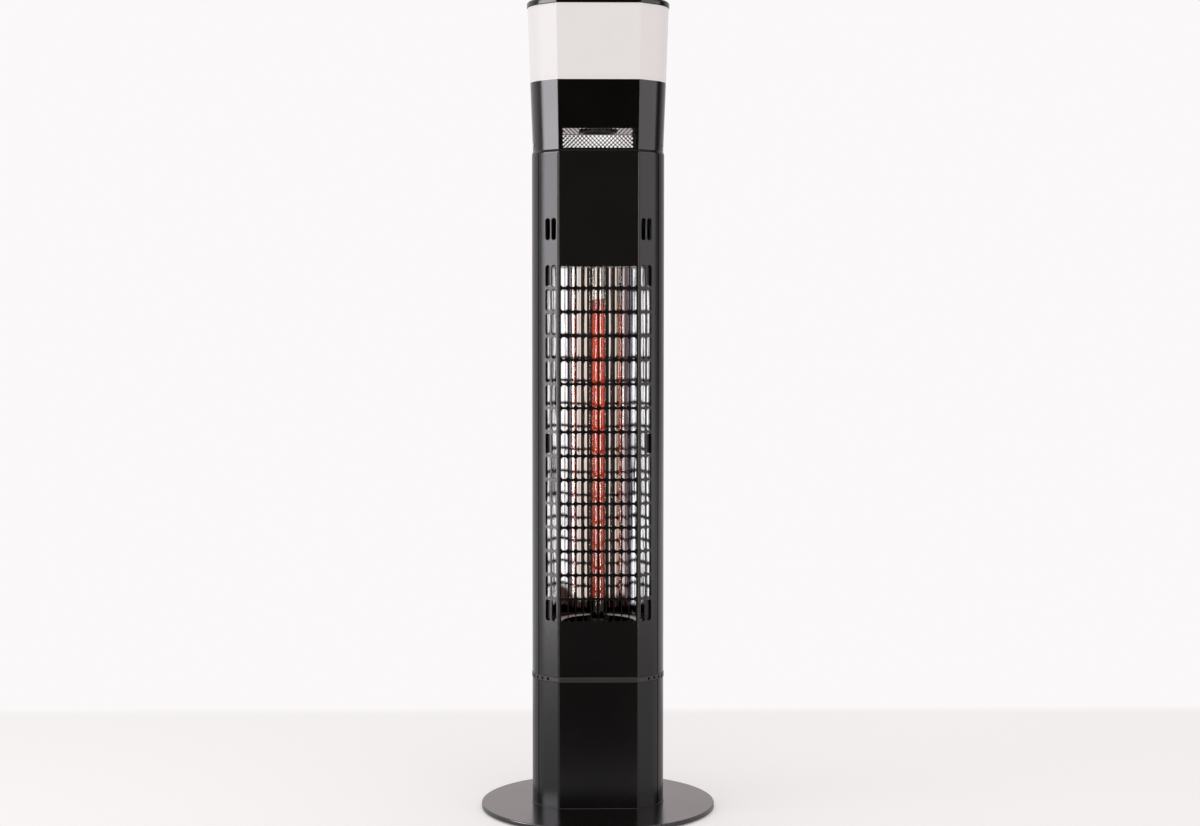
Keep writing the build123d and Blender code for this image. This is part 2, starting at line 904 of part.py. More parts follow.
# ---- head --------------------------------------------------------------------------------------
def make_neck_collar():
    """Recessed ring under the head, with a floor, tongues inside the head and four pillars."""
    groove_top = neck_bottom + neck_groove_height
    body = slab(outline(neck_groove_depth), neck_bottom, neck_groove_height)
    body += flared(neck_edge_inset, neck_draw_in, groove_top, head_bottom - groove_top)
    body -= slab(outline(neck_draw_in + neck_wall), neck_bottom + neck_floor, neck_height)
    tongue_inset = head_draw_in + head_wall + shield_gap
    tongue = slab(
        outline(tongue_inset) - outline(neck_draw_in + neck_wall + neck_floor),
        neck_bottom + neck_floor,
        neck_height + neck_tongue,
    )
    window_space = box_at(
        0,
        0,
        neck_bottom,
        window_width + 4 * mesh_border,
        2 * tower_depth,
        2 * (neck_height + neck_tongue),
    )
    body += tongue - window_space
    floor_top = neck_bottom + neck_floor
    for x in (-pillar_x, pillar_x):
        for y in (-pillar_y, pillar_y):
            body += round_at(x, y, pillar_diameter, floor_top, baffle_bottom - floor_top)
    sink = Rot(180, 0, 0) * countersunk(
        screw_diameter + fit_gap, screw_head_diameter + fit_gap, 2 * neck_floor, 0
    )
    for x, y in all_ports():
        body -= Pos(x, y, floor_top) * sink
        body -= round_at(x, y, screw_head_diameter + fit_gap, floor_top, neck_tongue + neck_height)
    body -= round_at(loom_x, loom_y, loom_hole, neck_bottom, neck_floor)
    for plane in head_screw_planes():
        body -= plane * Cylinder(head_screw_diameter / 2 + fit_gap / 2, 8 * head_wall)
    return body


def head_inset_at(z):
    """How far the head's outer face stands inside the tower's outline at a height."""
    return head_draw_in - head_flare * (z - head_bottom) / head_height


def head_screw_planes():
    z = head_bottom + head_screw_rise
    radius = side_radius - head_inset_at(z)
    return [
        side_plane(side, angle, radius, z, flare_angle)
        for side in (-1, 1)
        for angle in (-head_screw_angle, head_screw_angle)
    ]


def make_head_housing():
    low = head_draw_in
    high = head_draw_in - head_flare
    shell = flared(low, high, head_bottom, head_height)
    shell -= flared(low + head_wall, high + head_wall, head_bottom, head_height, 0)
    shell -= box_at(0, 0, window_bottom, window_width, 2 * tower_depth, window_height)
    ledge_top = lamp_bottom - tray_thickness
    ledge_outer = head_inset_at(ledge_top) + head_wall / 2
    ledge = outline(ledge_outer) - outline(ledge_outer + head_wall / 2 + ledge_width)
    shell += slab(ledge, ledge_top - ledge_height, ledge_height)
    for plane in head_screw_planes():
        shell -= plane * Cylinder(head_screw_diameter / 2 + fit_gap / 2, 4 * head_wall)
    return shell


def make_head_screws():
    screws = []
    for plane in head_screw_planes():
        head = Cylinder(head_screw_head / 2, head_screw_head_height)
        head = plane * Pos(0, 0, head_screw_head_height / 2) * head
        shank = Cylinder(head_screw_diameter / 2, head_screw_length)
        shank = plane * Pos(0, 0, -head_screw_length / 2) * shank
        screws.append(head + shank)
    return screws


def mesh_plane(face):
    """Plane of the inner wall behind a window; face is -1 for the front and 1 for the back."""
    inner = half_depth - head_inset_at(window_bottom) - head_wall
    return Plane(
        origin=(0, face * inner, window_bottom),
        x_dir=(-face, 0, 0),
        z_dir=(0, face * cos(flare_angle), -sin(flare_angle)),
    )


def make_mesh(face):
    """A pressed lattice of diamonds behind a window."""
    bottom = head_bottom + fit_gap - window_bottom
    top = baffle_bottom - fit_gap - window_bottom
    width = window_width + 2 * mesh_border
    panel = Pos(0, (bottom + top) / 2) * Rectangle(width, top - bottom)
    hole = Rectangle(mesh_spacing / sqrt(2) - mesh_wire, mesh_spacing / sqrt(2) - mesh_wire, 45)
    columns = int(window_width // mesh_spacing)
    rows = int(window_height // mesh_spacing)
    places = list(GridLocations(mesh_spacing, mesh_spacing, columns, rows))
    places += list(GridLocations(mesh_spacing, mesh_spacing, columns - 1, rows - 1))
    panel -= [Pos(0, window_height / 2) * place * hole for place in places]
    return extrude(mesh_plane(face) * panel, amount=-mesh_sheet)


def board_places():
    """Middle and size in plan of the control board and the amplifier board."""
    return {
        "control_board": (board_inset - half_width, 6.0, 28.0, 62.0),
        "amplifier_board": (half_width - board_inset, 0.0, 34.0, 50.0),
    }


def standoff_places():
    inset = standoff_diameter
    places = []
    for x, y, width, depth in board_places().values():
        for side in (-1, 1):
            for end in (-1, 1):
                places.append((x + side * (width / 2 - inset), y + end * (depth / 2 - inset)))
    return places


def make_speaker_baffle():
    edge = outline(head_inset_at(baffle_bottom) + head_wall + shield_gap)
    plate = slab(edge, baffle_bottom, baffle_thickness)
    plate -= round_at(0, 0, speaker_opening + fit_gap, baffle_bottom, baffle_thickness)
    plate -= round_at(loom_x, loom_y, loom_hole, baffle_bottom, baffle_thickness)
    for x, y in standoff_places():
        plate += round_at(x, y, standoff_diameter, baffle_top, standoff_height)
    return plate


def make_board(name, blocks, cans):
    """A circuit board; blocks are x, y, width, depth, height and cans x, y, diameter, height."""
    x, y, width, depth = board_places()[name]
    seat = baffle_top + standoff_height
    board = box_at(x, y, seat, width, depth, board_sheet)
    for dx, dy, w, d, h in blocks:
        board += box_at(x + dx, y + dy, seat + board_sheet, w, d, h)
    for dx, dy, diameter, h in cans:
        board += round_at(x + dx, y + dy, diameter, seat + board_sheet, h)
    return board


def make_control_board():
    relay = (-3, 16, 15, 19, 15)
    relay_two = (-3, -8, 15, 19, 15)
    plug = (9, 24, 6, 12, 8)
    transformer = (3, -26, 18, 12, 14)
    return make_board("control_board", [relay, relay_two, plug, transformer], [(9.5, 5, 8, 12)])


def make_amplifier_board():
    heat_sink = (9, 0, 8, 30, 16)
    plug = (-10, -16, 8, 12, 8)
    return make_board("amplifier_board", [heat_sink, plug], [(-8, 4, 10, 14), (-8, 16, 10, 14)])


# ---- loudspeaker -------------------------------------------------------------------------------
def make_speaker_frame():
    rim_bottom = baffle_bottom - speaker_rim
    outer = speaker_opening / 2
    inner = outer - basket_wall
    top = baffle_bottom + basket_depth
    bore = cone_throat / 2 + basket_bore_gap
    frame = spin_up(
        [
            (inner, rim_bottom),
            (speaker_diameter / 2, rim_bottom),
            (speaker_diameter / 2, baffle_bottom),
            (outer, baffle_bottom),
            (outer, top),
            (bore, top),
            (bore, top - basket_wall),
            (inner, top - basket_wall),
        ]
    )
    window_sill = baffle_top + basket_window_sill
    window_rise = top - basket_window_lintel - window_sill
    window = box_at(0, 0, window_sill, basket_window_width, speaker_diameter, window_rise)
    return frame - [Rot(0, 0, 60 * i) * window for i in range(3)]


def make_speaker_magnet():
    return round_at(0, 0, magnet_diameter, baffle_bottom + basket_depth, magnet_height)


def make_speaker_surround():
    inner = cone_diameter / 2 + surround_gap
    outer = speaker_opening / 2 - basket_wall - fit_gap
    middle = (inner + outer) / 2
    bulge = (outer - inner) / 2
    low = baffle_bottom - speaker_rim + surround_lip
    high = low + surround_sheet
    return spin_up(
        [
            (inner, high),
            (inner, low),
            (middle - bulge / 2, low - surround_roll),
            (middle + bulge / 2, low - surround_roll),
            (outer, low),
            (outer, high),
            (middle + bulge / 2, high - surround_roll),
            (middle - bulge / 2, high - surround_roll),
        ]
    )


def make_speaker_cone():
    """Cone, dust cap and voice coil in one, open towards the floor."""
    lip = baffle_bottom - speaker_rim + cone_recess
    rim = cone_diameter / 2
    throat = cone_throat / 2
    dust_cap = lip + cone_depth - dust_cap_drop
    return spin_up(
        [
            (rim, lip),
            (rim, lip + cone_wall),
            (throat, lip + cone_depth + cone_wall),
            (throat, lip + cone_depth + voice_coil_height),
            (throat - cone_wall, lip + cone_depth + voice_coil_height),
            (throat - cone_wall, dust_cap),
            (0, dust_cap - dust_cap_dome),
            (0, dust_cap - dust_cap_dome - cone_wall),
            (throat, dust_cap - cone_wall),
        ]
    )


# ---- lamp --------------------------------------------------------------------------------------
def make_lamp_tray():
    ledge_top = lamp_bottom - tray_thickness
    tray = slab(
        outline(head_inset_at(ledge_top) + head_wall + tray_gap), ledge_top, tray_thickness
    )
    rim_inset = head_inset_at(lamp_bottom) + lamp_wall + tray_gap
    tray += slab(
        outline(rim_inset) - outline(rim_inset + tray_rim_wall),
        lamp_bottom,
        tray_rim_height,
    )
    tray -= round_at(0, 0, tie_diameter + fit_gap, ledge_top, tray_thickness)
    return tray


def make_lamp_diffuser():
    low = head_draw_in - head_flare
    shell = flared(low, lamp_top_inset, lamp_bottom, lamp_height)
    shell -= flared(low + lamp_wall, lamp_top_inset + lamp_wall, lamp_bottom, lamp_height, 0)
    groove_inset = low + lamp_lip_groove
    groove = outline(low - lamp_lip_groove) - outline(groove_inset, moulded_fold_radius)
    return shell - slab(groove, lamp_bottom + lamp_lip_height, lamp_lip_groove)


def column_top():
    return cap_bottom - column_head_gap


def make_lamp_column():
    ring = Rectangle(column_side, column_side) - Rectangle(
        column_side - 2 * column_wall, column_side - 2 * column_wall
    )
    column = slab(ring, lamp_bottom, column_top() - lamp_bottom)
    lid = Rectangle(column_side, column_side) - Circle((tie_diameter + fit_gap) / 2)
    return column + slab(lid, column_top() - column_wall, column_wall)


def make_led_boards():
    height = column_top() - lamp_bottom - 2 * column_wall
    board = box_at(
        0,
        -column_side / 2 - strip_board_sheet / 2,
        lamp_bottom + column_wall,
        strip_board_width,
        strip_board_sheet,
        height,
    )
    return [Rot(0, 0, 90 * i) * board for i in range(4)]


def make_leds():
    pitch = (column_top() - lamp_bottom) / leds_per_board
    front = -column_side / 2 - strip_board_sheet - led_height / 2
    chips = []
    for i in range(4):
        for k in range(leds_per_board):
            z = lamp_bottom + pitch * (k + 0.5) - led_side / 2
            chips.append(Rot(0, 0, 90 * i) * box_at(0, front, z, led_side, led_height, led_side))
    return chips


def make_lamp_tie_rod():
    """One long bolt from under the tray, through the column, into the cap."""
    seat = lamp_bottom - tray_thickness
    rod = round_at(0, 0, tie_diameter, seat, cap_bottom + cap_height - cap_skin - seat)
    return rod + round_at(0, 0, tie_head_diameter, seat - tie_head_height, tie_head_height)


def make_lamp_gasket():
    ring = outline(lamp_top_inset + gasket_margin)
    ring -= outline(lamp_top_inset + lamp_wall - gasket_margin)
    return slab(ring, gasket_bottom, gasket_thickness)


def make_top_cap():
    outer = lamp_top_inset - cap_overhang
    cap = slab(outline(outer, moulded_fold_radius), cap_bottom, cap_height)
    cap = fillet(cap.faces().sort_by(Axis.Z)[-1].edges(), cap_edge_radius)
    pocket = outline(lamp_top_inset + lamp_wall + cap_rib_wall + tray_gap)
    cap -= slab(pocket, cap_bottom, cap_height - cap_skin)
    rib_outer = lamp_top_inset + lamp_wall + tray_gap
    rib = outline(rib_outer) - outline(rib_outer + cap_rib_wall)
    cap += slab(rib, cap_bottom - cap_rib_depth, cap_rib_depth)
    boss_length = tower_top - cap_skin - column_top()
    boss = round_at(0, 0, cap_boss_diameter, column_top(), boss_length)
    bore = round_at(0, 0, tie_diameter + fit_gap, column_top(), boss_length)
    return cap + (boss - bore)


# ---- fittings on the back ----------------------------------------------------------------------
def make_cable_gland():
    """Gland body and dome, with the bore that a mains lead passes through."""
    z = lower_bottom + gland_rise
    body = Cylinder(gland_thread / 2, gland_inner_length + sheet)
    body = Pos(0, 0, -(gland_inner_length + sheet) / 2) * body
    hexagon = extrude(RegularPolygon(gland_hex / 2, 6, major_radius=False), gland_hex_height)
    dome = Pos(0, 0, gland_hex_height) * Cone(
        gland_hex / 2 - gland_dome_step,
        gland_thread / 2 - gland_tip_taper,
        gland_dome_height,
        align=(Align.CENTER, Align.CENTER, Align.MIN),
    )
    body += [hexagon, dome]
    body -= Cylinder(gland_bore / 2, 4 * (gland_dome_height + gland_inner_length))
    back = Plane(origin=(gland_x, half_depth, z), x_dir=(-1, 0, 0), z_dir=(0, 1, 0))
    return back * body


def make_gland_locknut():
    z = lower_bottom + gland_rise
    nut = extrude(RegularPolygon(gland_nut_hex / 2, 6, major_radius=False), gland_nut_height)
    nut -= Cylinder(gland_thread / 2 + fit_gap / 2, 4 * gland_nut_height)
    inside = Plane(origin=(gland_x, half_depth - sheet, z), x_dir=(1, 0, 0), z_dir=(0, -1, 0))
    return inside * nut


def switch_height_mid():
    return lower_bottom + switch_rise


def pivot_y():
    return half_depth - rocker_dip - trunnion_diameter / 2


def make_switch_frame():
    """Bezel and open well of the rocker switch, with the pivot holes in its cheeks."""
    z = switch_height_mid()
    bezel = box_at(
        switch_x,
        half_depth + switch_bezel / 2,
        z - switch_height / 2,
        switch_width,
        switch_bezel,
        switch_height,
    )
    well = box_at(
        switch_x,
        half_depth - switch_depth / 2,
        z - switch_cut_height / 2,
        switch_cut_width,
        switch_depth,
        switch_cut_height,
    )
    frame = bezel + well
    hollow_height = 2 * (rocker_radius + rocker_gap)
    hollow_depth = switch_depth + switch_bezel - switch_floor
    frame -= box_at(
        switch_x,
        half_depth + switch_bezel - hollow_depth / 2,
        z - hollow_height / 2,
        rocker_width + 2 * rocker_gap,
        hollow_depth,
        hollow_height,
    )
    pivot_length = rocker_width + 2 * rocker_gap + 2 * trunnion_length
    pivot = Cylinder(trunnion_diameter / 2 + fit_gap, pivot_length, rotation=(0, 90, 0))
    return frame - Pos(switch_x, pivot_y(), z) * pivot


def make_switch_rocker():
    """Two-way rocker, at rest with its upper half pressed in."""
    crown = half_depth + switch_bezel - pivot_y() - rocker_recess
    slope = tan(radians(rocker_tilt))
    reach = rocker_radius + trunnion_diameter
    profile = make_face(
        Polyline(
            (-reach, crown + slope * reach),
            (0, crown),
            (reach, crown + slope * reach),
            (reach, -trunnion_diameter),
            (-reach, -trunnion_diameter),
            close=True,
        ).edges()
    )
    profile &= Circle(rocker_radius)
    body = extrude(profile, amount=rocker_width / 2, both=True)
    body += Cylinder(trunnion_diameter / 2, rocker_width + 2 * trunnion_length)
    upright = Plane(origin=(0, 0, 0), x_dir=(0, 0, 1), z_dir=(1, 0, 0))
    tilted = Rot(rocker_tilt, 0, 0) * (upright * body)
    return Pos(switch_x, pivot_y(), switch_height_mid()) * tilted


# ---- inside the lower housing ------------------------------------------------------------------
def make_terminal_block():
    block = box_at(
        terminal_x, terminal_y, lower_bottom, terminal_length, terminal_width, terminal_height
    )
    pitch = terminal_length / terminal_ways
    for i in range(terminal_ways):
        x = terminal_x + pitch * (i - (terminal_ways - 1) / 2)
        y = terminal_y - terminal_width / 4
        block -= round_at(x, y, pitch / 2, lower_bottom + terminal_height / 2, terminal_height)
    return block


def make_wiring_loom():
    """Sleeved wires from the terminal block up behind the reflector to the control board."""
    bottom = lower_bottom + terminal_height
    top = baffle_top + standoff_height
    return round_at(loom_x, loom_y, loom_diameter, bottom, top - bottom)


def tip_pivot():
    return lower_bottom + tip_pivot_rise


def make_tip_bracket():
    """U-shaped sheet bracket whose cheeks carry the pendulum's pin."""
    top = tip_pivot() + tip_cheek_width / 2
    bracket = box_at(
        tip_x, tip_y, lower_bottom, tip_cheek_gap + 2 * tip_sheet, tip_base_length, tip_sheet
    )
    pin = Cylinder(tip_pin_diameter / 2, tip_cheek_gap + 2 * tip_sheet, rotation=(0, 90, 0))
    for side in (-1, 1):
        bracket += box_at(
            tip_x + side * (tip_cheek_gap + tip_sheet) / 2,
            tip_y,
            lower_bottom,
            tip_sheet,
            tip_cheek_width,
            top - lower_bottom,
        )
    return bracket + Pos(tip_x, tip_y, tip_pivot()) * pin


def make_tip_pendulum():
    """A weight on a rod that swings clear when the heater leans or falls."""
    pivot = tip_pivot()
    hub = Cylinder(pendulum_hub / 2, tip_cheek_gap - 2 * pendulum_side_gap, rotation=(0, 90, 0))
    body = Pos(tip_x, tip_y, pivot) * hub
    body += round_at(tip_x, tip_y, pendulum_rod, pivot - pendulum_length, pendulum_length)
    body += round_at(
        tip_x,
        tip_y,
        pendulum_weight,
        pivot - pendulum_length - pendulum_weight_height,
        pendulum_weight_height,
    )
    bore = Cylinder(tip_pin_diameter / 2 + tip_pin_gap, 2 * tip_cheek_gap, rotation=(0, 90, 0))
    return body - Pos(tip_x, tip_y, pivot) * bore


def make_tip_microswitch():
    x = tip_x + tip_cheek_gap / 2 + tip_sheet + microswitch_width / 2
    z = lower_bottom + tip_sheet + microswitch_rise
    body = box_at(x, tip_y, z, microswitch_width, microswitch_length, microswitch_height)
    for side in (-1, 1):
        body += box_at(
            x,
            tip_y + side * microswitch_tab_spacing / 2,
            z - microswitch_tab_height,
            microswitch_tab_sheet,
            microswitch_tab_width,
            microswitch_tab_height,
        )
    return body


# ---- the parts ---------------------------------------------------------------------------------
def all_parts():
    lower, upper = cover_screw_heights()
    return {
        "base_plate": make_base_plate(),
        "base_feet": make_base_feet(),
        "base_bolts": make_base_bolts(),
        "foot_flange": make_foot_flange(),
        "lower_front_cover": make_lower_front_cover(),
        "lower_back_cover": make_lower_back_cover(),
        "lower_left_rail": make_rail(-1, lower_bottom, lower_height, lower),
        "lower_right_rail": make_rail(1, lower_bottom, lower_height, lower),
        "vent_collar": make_vent_collar(),
        "rail_pins": make_rail_pins(),
        "rail_screws": make_rail_screws(),
        "cover_screws": make_cover_screws(),
        "front_grille": make_front_grille(),
        "rear_cover": make_rear_cover(),
        "left_rail": make_rail(-1, body_bottom, body_height, upper),
        "right_rail": make_rail(1, body_bottom, body_height, upper),
        "reflector": make_reflector(),
        "reflector_bottom_plate": make_reflector_bottom_plate(),
        "reflector_top_plate": make_reflector_top_plate(),
        "reflector_brackets": make_reflector_brackets(),
        "quartz_tube": make_quartz_tube(),
        "heating_filament": make_heating_filament(),
        "element_leads": make_element_leads(),
        "element_end_caps": make_element_end_caps(),
        "element_clips": make_element_clips(),
        "heat_shield": make_heat_shield(),
        "thermal_cutout": make_thermal_cutout(),
        "neck_collar": make_neck_collar(),
        "head_housing": make_head_housing(),
        "head_screws": make_head_screws(),
        "front_mesh": make_mesh(-1),
        "rear_mesh": make_mesh(1),
        "speaker_baffle": make_speaker_baffle(),
        "speaker_frame": make_speaker_frame(),
        "speaker_magnet": make_speaker_magnet(),
        "speaker_surround": make_speaker_surround(),
        "speaker_cone": make_speaker_cone(),
        "control_board": make_control_board(),
        "amplifier_board": make_amplifier_board(),
        "lamp_tray": make_lamp_tray(),
        "lamp_diffuser": make_lamp_diffuser(),
        "lamp_column": make_lamp_column(),
        "led_boards": make_led_boards(),
        "leds": make_leds(),
        "lamp_tie_rod": make_lamp_tie_rod(),
        "lamp_gasket": make_lamp_gasket(),
        "top_cap": make_top_cap(),
        "cable_gland": make_cable_gland(),
        "gland_locknut": make_gland_locknut(),
        "switch_frame": make_switch_frame(),
        "switch_rocker": make_switch_rocker(),
        "terminal_block": make_terminal_block(),
        "wiring_loom": make_wiring_loom(),
        "tip_bracket": make_tip_bracket(),
        "tip_pendulum": make_tip_pendulum(),
        "tip_microswitch": make_tip_microswitch(),
    }


def solids_of(shape):
    """Every solid of a part, whether it is one shape or a list of them."""
    shapes = shape if isinstance(shape, list) else [shape]
    return [solid for item in shapes for solid in item.solids()]


for name, shape in all_parts().items():
    export_step(Compound(children=solids_of(shape)), f"parts/{name}.step")
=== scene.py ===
import json
import math
import random

import bmesh
import bpy
from mathutils import Matrix, Vector


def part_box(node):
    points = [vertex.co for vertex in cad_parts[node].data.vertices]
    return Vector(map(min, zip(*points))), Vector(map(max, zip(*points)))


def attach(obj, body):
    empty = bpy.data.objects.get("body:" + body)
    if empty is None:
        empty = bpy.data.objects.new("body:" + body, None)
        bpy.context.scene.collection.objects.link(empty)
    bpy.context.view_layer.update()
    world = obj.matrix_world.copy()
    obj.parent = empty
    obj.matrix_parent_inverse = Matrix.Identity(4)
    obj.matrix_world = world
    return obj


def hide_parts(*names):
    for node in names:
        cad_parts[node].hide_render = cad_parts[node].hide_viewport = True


# The patio heater tower in a bright studio, seen by a camera that is fitted to the photograph.
# Lengths are in metres, except in the blocks of values that say millimetres.

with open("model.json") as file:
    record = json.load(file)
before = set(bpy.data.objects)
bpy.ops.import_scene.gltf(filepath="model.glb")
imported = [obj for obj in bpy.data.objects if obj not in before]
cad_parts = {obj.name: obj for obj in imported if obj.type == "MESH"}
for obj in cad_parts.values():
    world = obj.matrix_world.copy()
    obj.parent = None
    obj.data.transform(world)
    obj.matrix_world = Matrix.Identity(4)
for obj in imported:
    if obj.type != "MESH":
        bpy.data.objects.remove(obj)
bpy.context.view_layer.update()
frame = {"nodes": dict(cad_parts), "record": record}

MM = 0.001
TOWER = "tower"

# ---- camera, in the photograph's frame -----------------------------------------------------------
IMAGE_WIDTH = 1200
FOCAL_PIXELS = 2069.0
SENSOR_WIDTH = 36.0
CAMERA_DISTANCE = 2.828
CAMERA_HEIGHT = 0.6875
CAMERA_AZIMUTH = -0.9
CAMERA_PITCH = -2.92
CAMERA_ROLL = 0.02
AXIS_PIXEL_X = 598.0

# ---- studio --------------------------------------------------------------------------------------
FLOOR_RADIUS = 7.0
FLOOR_SIDES = 96
FLOOR_COLOUR = (0.80, 0.785, 0.785)
FLOOR_EDGE_Y = 0.677
FLOOR_EDGE_BLUR = 0.03
FLOOR_FRONT_Y = (-0.45, -0.15)
FLOOR_LIFT = 0.22
FLOOR_LIFT_TINT = (1.0, 0.985, 0.985)
BACKDROP_WHITE = 0.965
BACKDROP_TINT = (1.0, 0.976, 0.984)
AMBIENT = 0.78
AMBIENT_SIDES = ((1.08, 1.11, 1.11), (0.92, 0.83, 0.82))
LIGHT_AIM = (0.0, 0.0, 0.55)

# The room that reflections see: azimuth in degrees, 0 on the camera's side and positive to the
# right, and the colour there.
ROOM_BANDS = (
    (-180.0, (0.98, 0.88, 0.90)),
    (-118.0, (0.80, 0.80, 0.80)),
    (-100.0, (0.22, 0.22, 0.22)),
    (-78.0, (0.95, 0.95, 0.97)),
    (-63.0, (1.30, 1.28, 1.30)),
    (-61.0, (0.11, 0.15, 0.26)),
    (-56.0, (0.09, 0.12, 0.20)),
    (-53.5, (0.70, 0.60, 0.62)),
    (-49.0, (0.70, 0.60, 0.62)),
    (-46.5, (0.20, 0.13, 0.17)),
    (-42.0, (0.12, 0.06, 0.09)),
    (-39.0, (0.86, 0.70, 0.60)),
    (-21.0, (0.86, 0.70, 0.60)),
    (-18.0, (0.05, 0.03, 0.025)),
    (0.0, (0.015, 0.015, 0.015)),
    (18.0, (0.05, 0.03, 0.025)),
    (21.0, (0.92, 0.82, 0.78)),
    (39.5, (0.92, 0.82, 0.78)),
    (42.0, (0.12, 0.07, 0.10)),
    (46.5, (0.10, 0.06, 0.09)),
    (48.5, (0.90, 0.82, 0.83)),
    (52.5, (0.90, 0.82, 0.83)),
    (54.0, (0.24, 0.18, 0.22)),
    (57.0, (1.30, 1.27, 1.27)),
    (74.0, (1.15, 1.12, 1.13)),
    (79.0, (0.35, 0.34, 0.36)),
    (100.0, (0.32, 0.32, 0.34)),
    (106.0, (0.04, 0.04, 0.04)),
    (118.0, (0.04, 0.04, 0.04)),
    (126.0, (0.45, 0.45, 0.45)),
    (179.9, (0.98, 0.88, 0.90)),
)
SOFTBOXES = {
    "left_gloss": dict(
        azimuth=-84.0, distance=1.9, height=0.75, width=0.5, tall=1.9, radiance=8.0,
        tint=(0.98, 0.95, 1.0), diffuse=False,
    ),
    "right_gloss": dict(
        azimuth=88.0, distance=2.1, height=0.75, width=0.8, tall=1.9, radiance=1.45,
        tint=(1.0, 0.93, 0.95), diffuse=False,
    ),
    "left_strip": dict(
        azimuth=-32.5, distance=1.9, height=0.75, width=0.26, tall=1.9, radiance=10.0,
        tint=(1.0, 0.90, 0.82), diffuse=False,
    ),
    "right_strip": dict(
        azimuth=33.0, distance=1.9, height=0.75, width=0.26, tall=1.9, radiance=10.0,
        tint=(1.0, 0.92, 0.78), diffuse=False,
    ),
    "left_key": dict(
        azimuth=-70.0, distance=2.0, height=1.0, width=1.0, tall=1.6, radiance=0.9, glossy=False,
    ),
    "top_box": dict(azimuth=10.0, distance=0.6, height=2.6, width=1.6, tall=1.6, radiance=0.8),
}

# ---- reflector and filament, in millimetres and degrees ------------------------------------------
# Width and slope of each flute, from the middle of the trough outwards. The last is its wing.
FLUTES = (
    (8.2, 22.0),
    (6.2, 0.0),
    (0.8, -7.0),
    (4.1, -12.5),
    (4.2, 7.0),
    (2.0, 12.5),
    (0.7, 7.0),
    (2.7, 12.8),
    (3.9, 33.5),
    (2.9, 25.0),
    (6.2, 22.5),
    (4.3, 29.5),
    (4.5, 33.5),
    (5.5, 36.0),
    (18.0, 33.5),
)
FLUTE_STEP = 1.6
FLUTE_WANDER = 1.0
FLUTE_SEED = 7
WING_START = 52.0
REFLECTOR_SHEET = 0.8
REFLECTOR_FLANGE = 4.2
STRIP_TURNS = 110
STRIP_RADIUS = 8.2
STRIP_THICKNESS = 0.9
STRIP_WIDTH = 2.9
STEPS_PER_TURN = 16

# ---- glow of the filament: heights, and its share of the full glow at both ends ------------------
HEAT_TOP = 0.700
HEAT_FOOT = 0.287
HEAT_FULL = 0.560
HEAT_FADE = 0.030
TOP_GLOW = 0.12
FOOT_GLOW = 0.35

# ---- painted shade at the foot of the reflector and the tube -------------------------------------
FOOT_SHADE_TOP = 0.294
FOOT_SHADE_FADE = 0.010
FOOT_SHADE_SPREAD = 0.030

# Place across the reflector and how far the painted shade reaches up there, in millimetres.
FOOT_SHADE_SHAPE = (
    (-80.0, 0.0),
    (-54.0, 0.0),
    (-50.0, 22.0),
    (-36.0, 0.0),
    (36.0, 0.0),
    (50.0, -15.0),
    (54.0, 0.0),
)
FOOT_SHADE_SIDE = 80.0
FOOT_SHADE_REACH = 22.0

# ---- curved notch of the end plates, and its painted highlight rim as a share of the notch's size ---
NOTCH_X = 0.049
NOTCH_Y = 0.056
NOTCH_HIGHLIGHT = 1.20
NOTCH_HIGHLIGHT_JITTER = 0.04

# ---- perforated sheets in the head's windows, in millimetres -------------------------------------
HOLE_PITCH = 5.66
HOLE_REACH = (2.1, 1.82)
HOLE_SIDES = 8
MESH_THICKNESS = 0.8
MESH_PLAY = 0.1
WINDOW_BORDER = 1.5
FRONT_PATTERN = (0.0, 0.0)
REAR_PATTERN = (1.83, 3.29)
WELD_DISTANCE = 0.01


# ---- helpers -------------------------------------------------------------------------------------
def new_material(name):
    """A node material with one Principled BSDF, and the nodes and links to add to it."""
    material = bpy.data.materials.new(name)
    material.use_nodes = True
    tree = material.node_tree
    return material, tree.nodes, tree.links, tree.nodes["Principled BSDF"]


def node(nodes, kind, **values):
    """Adds a node; a value is set on the property of that name, or on the input socket."""
    made = nodes.new(kind)
    for name, value in values.items():
        if hasattr(made, name):
            setattr(made, name, value)
        else:
            made.inputs[name].default_value = value
    return made


def feed(links, value, socket):
    """Gives an input a number, a colour or the output of another node."""
    if isinstance(value, bpy.types.NodeSocket):
        links.new(value, socket)
    elif isinstance(value, tuple):
        socket.default_value = (*value, 1.0)
    else:
        socket.default_value = value


def object_coordinates(nodes):
    return node(nodes, "ShaderNodeTexCoord").outputs["Object"]


def stretched(nodes, links, scale, shift=(0.0, 0.0, 0.0)):
    """Object coordinates multiplied by a scale for each axis, and then moved."""
    mapping = node(nodes, "ShaderNodeMapping", Location=shift, Scale=scale)
    links.new(object_coordinates(nodes), mapping.inputs["Vector"])
    return mapping.outputs["Vector"]


def components(nodes, links, vector):
    """Outputs X, Y and Z of a vector."""
    made = node(nodes, "ShaderNodeSeparateXYZ")
    links.new(vector, made.inputs[0])
    return made.outputs


def maths(nodes, links, operation, first, second):
    """A Math node on two sockets or numbers."""
    made = node(nodes, "ShaderNodeMath", operation=operation)
    feed(links, first, made.inputs[0])
    feed(links, second, made.inputs[1])
    return made.outputs[0]


def noise(nodes, links, size, detail=2.0, stretch=None):
    """Noise whose blobs are about size metres across, and longer where stretch is below 1."""
    made = node(nodes, "ShaderNodeTexNoise", Scale=1.0 / size, Detail=detail)
    vector = stretched(nodes, links, stretch) if stretch else object_coordinates(nodes)
    links.new(vector, made.inputs["Vector"])
    return made.outputs["Fac"]


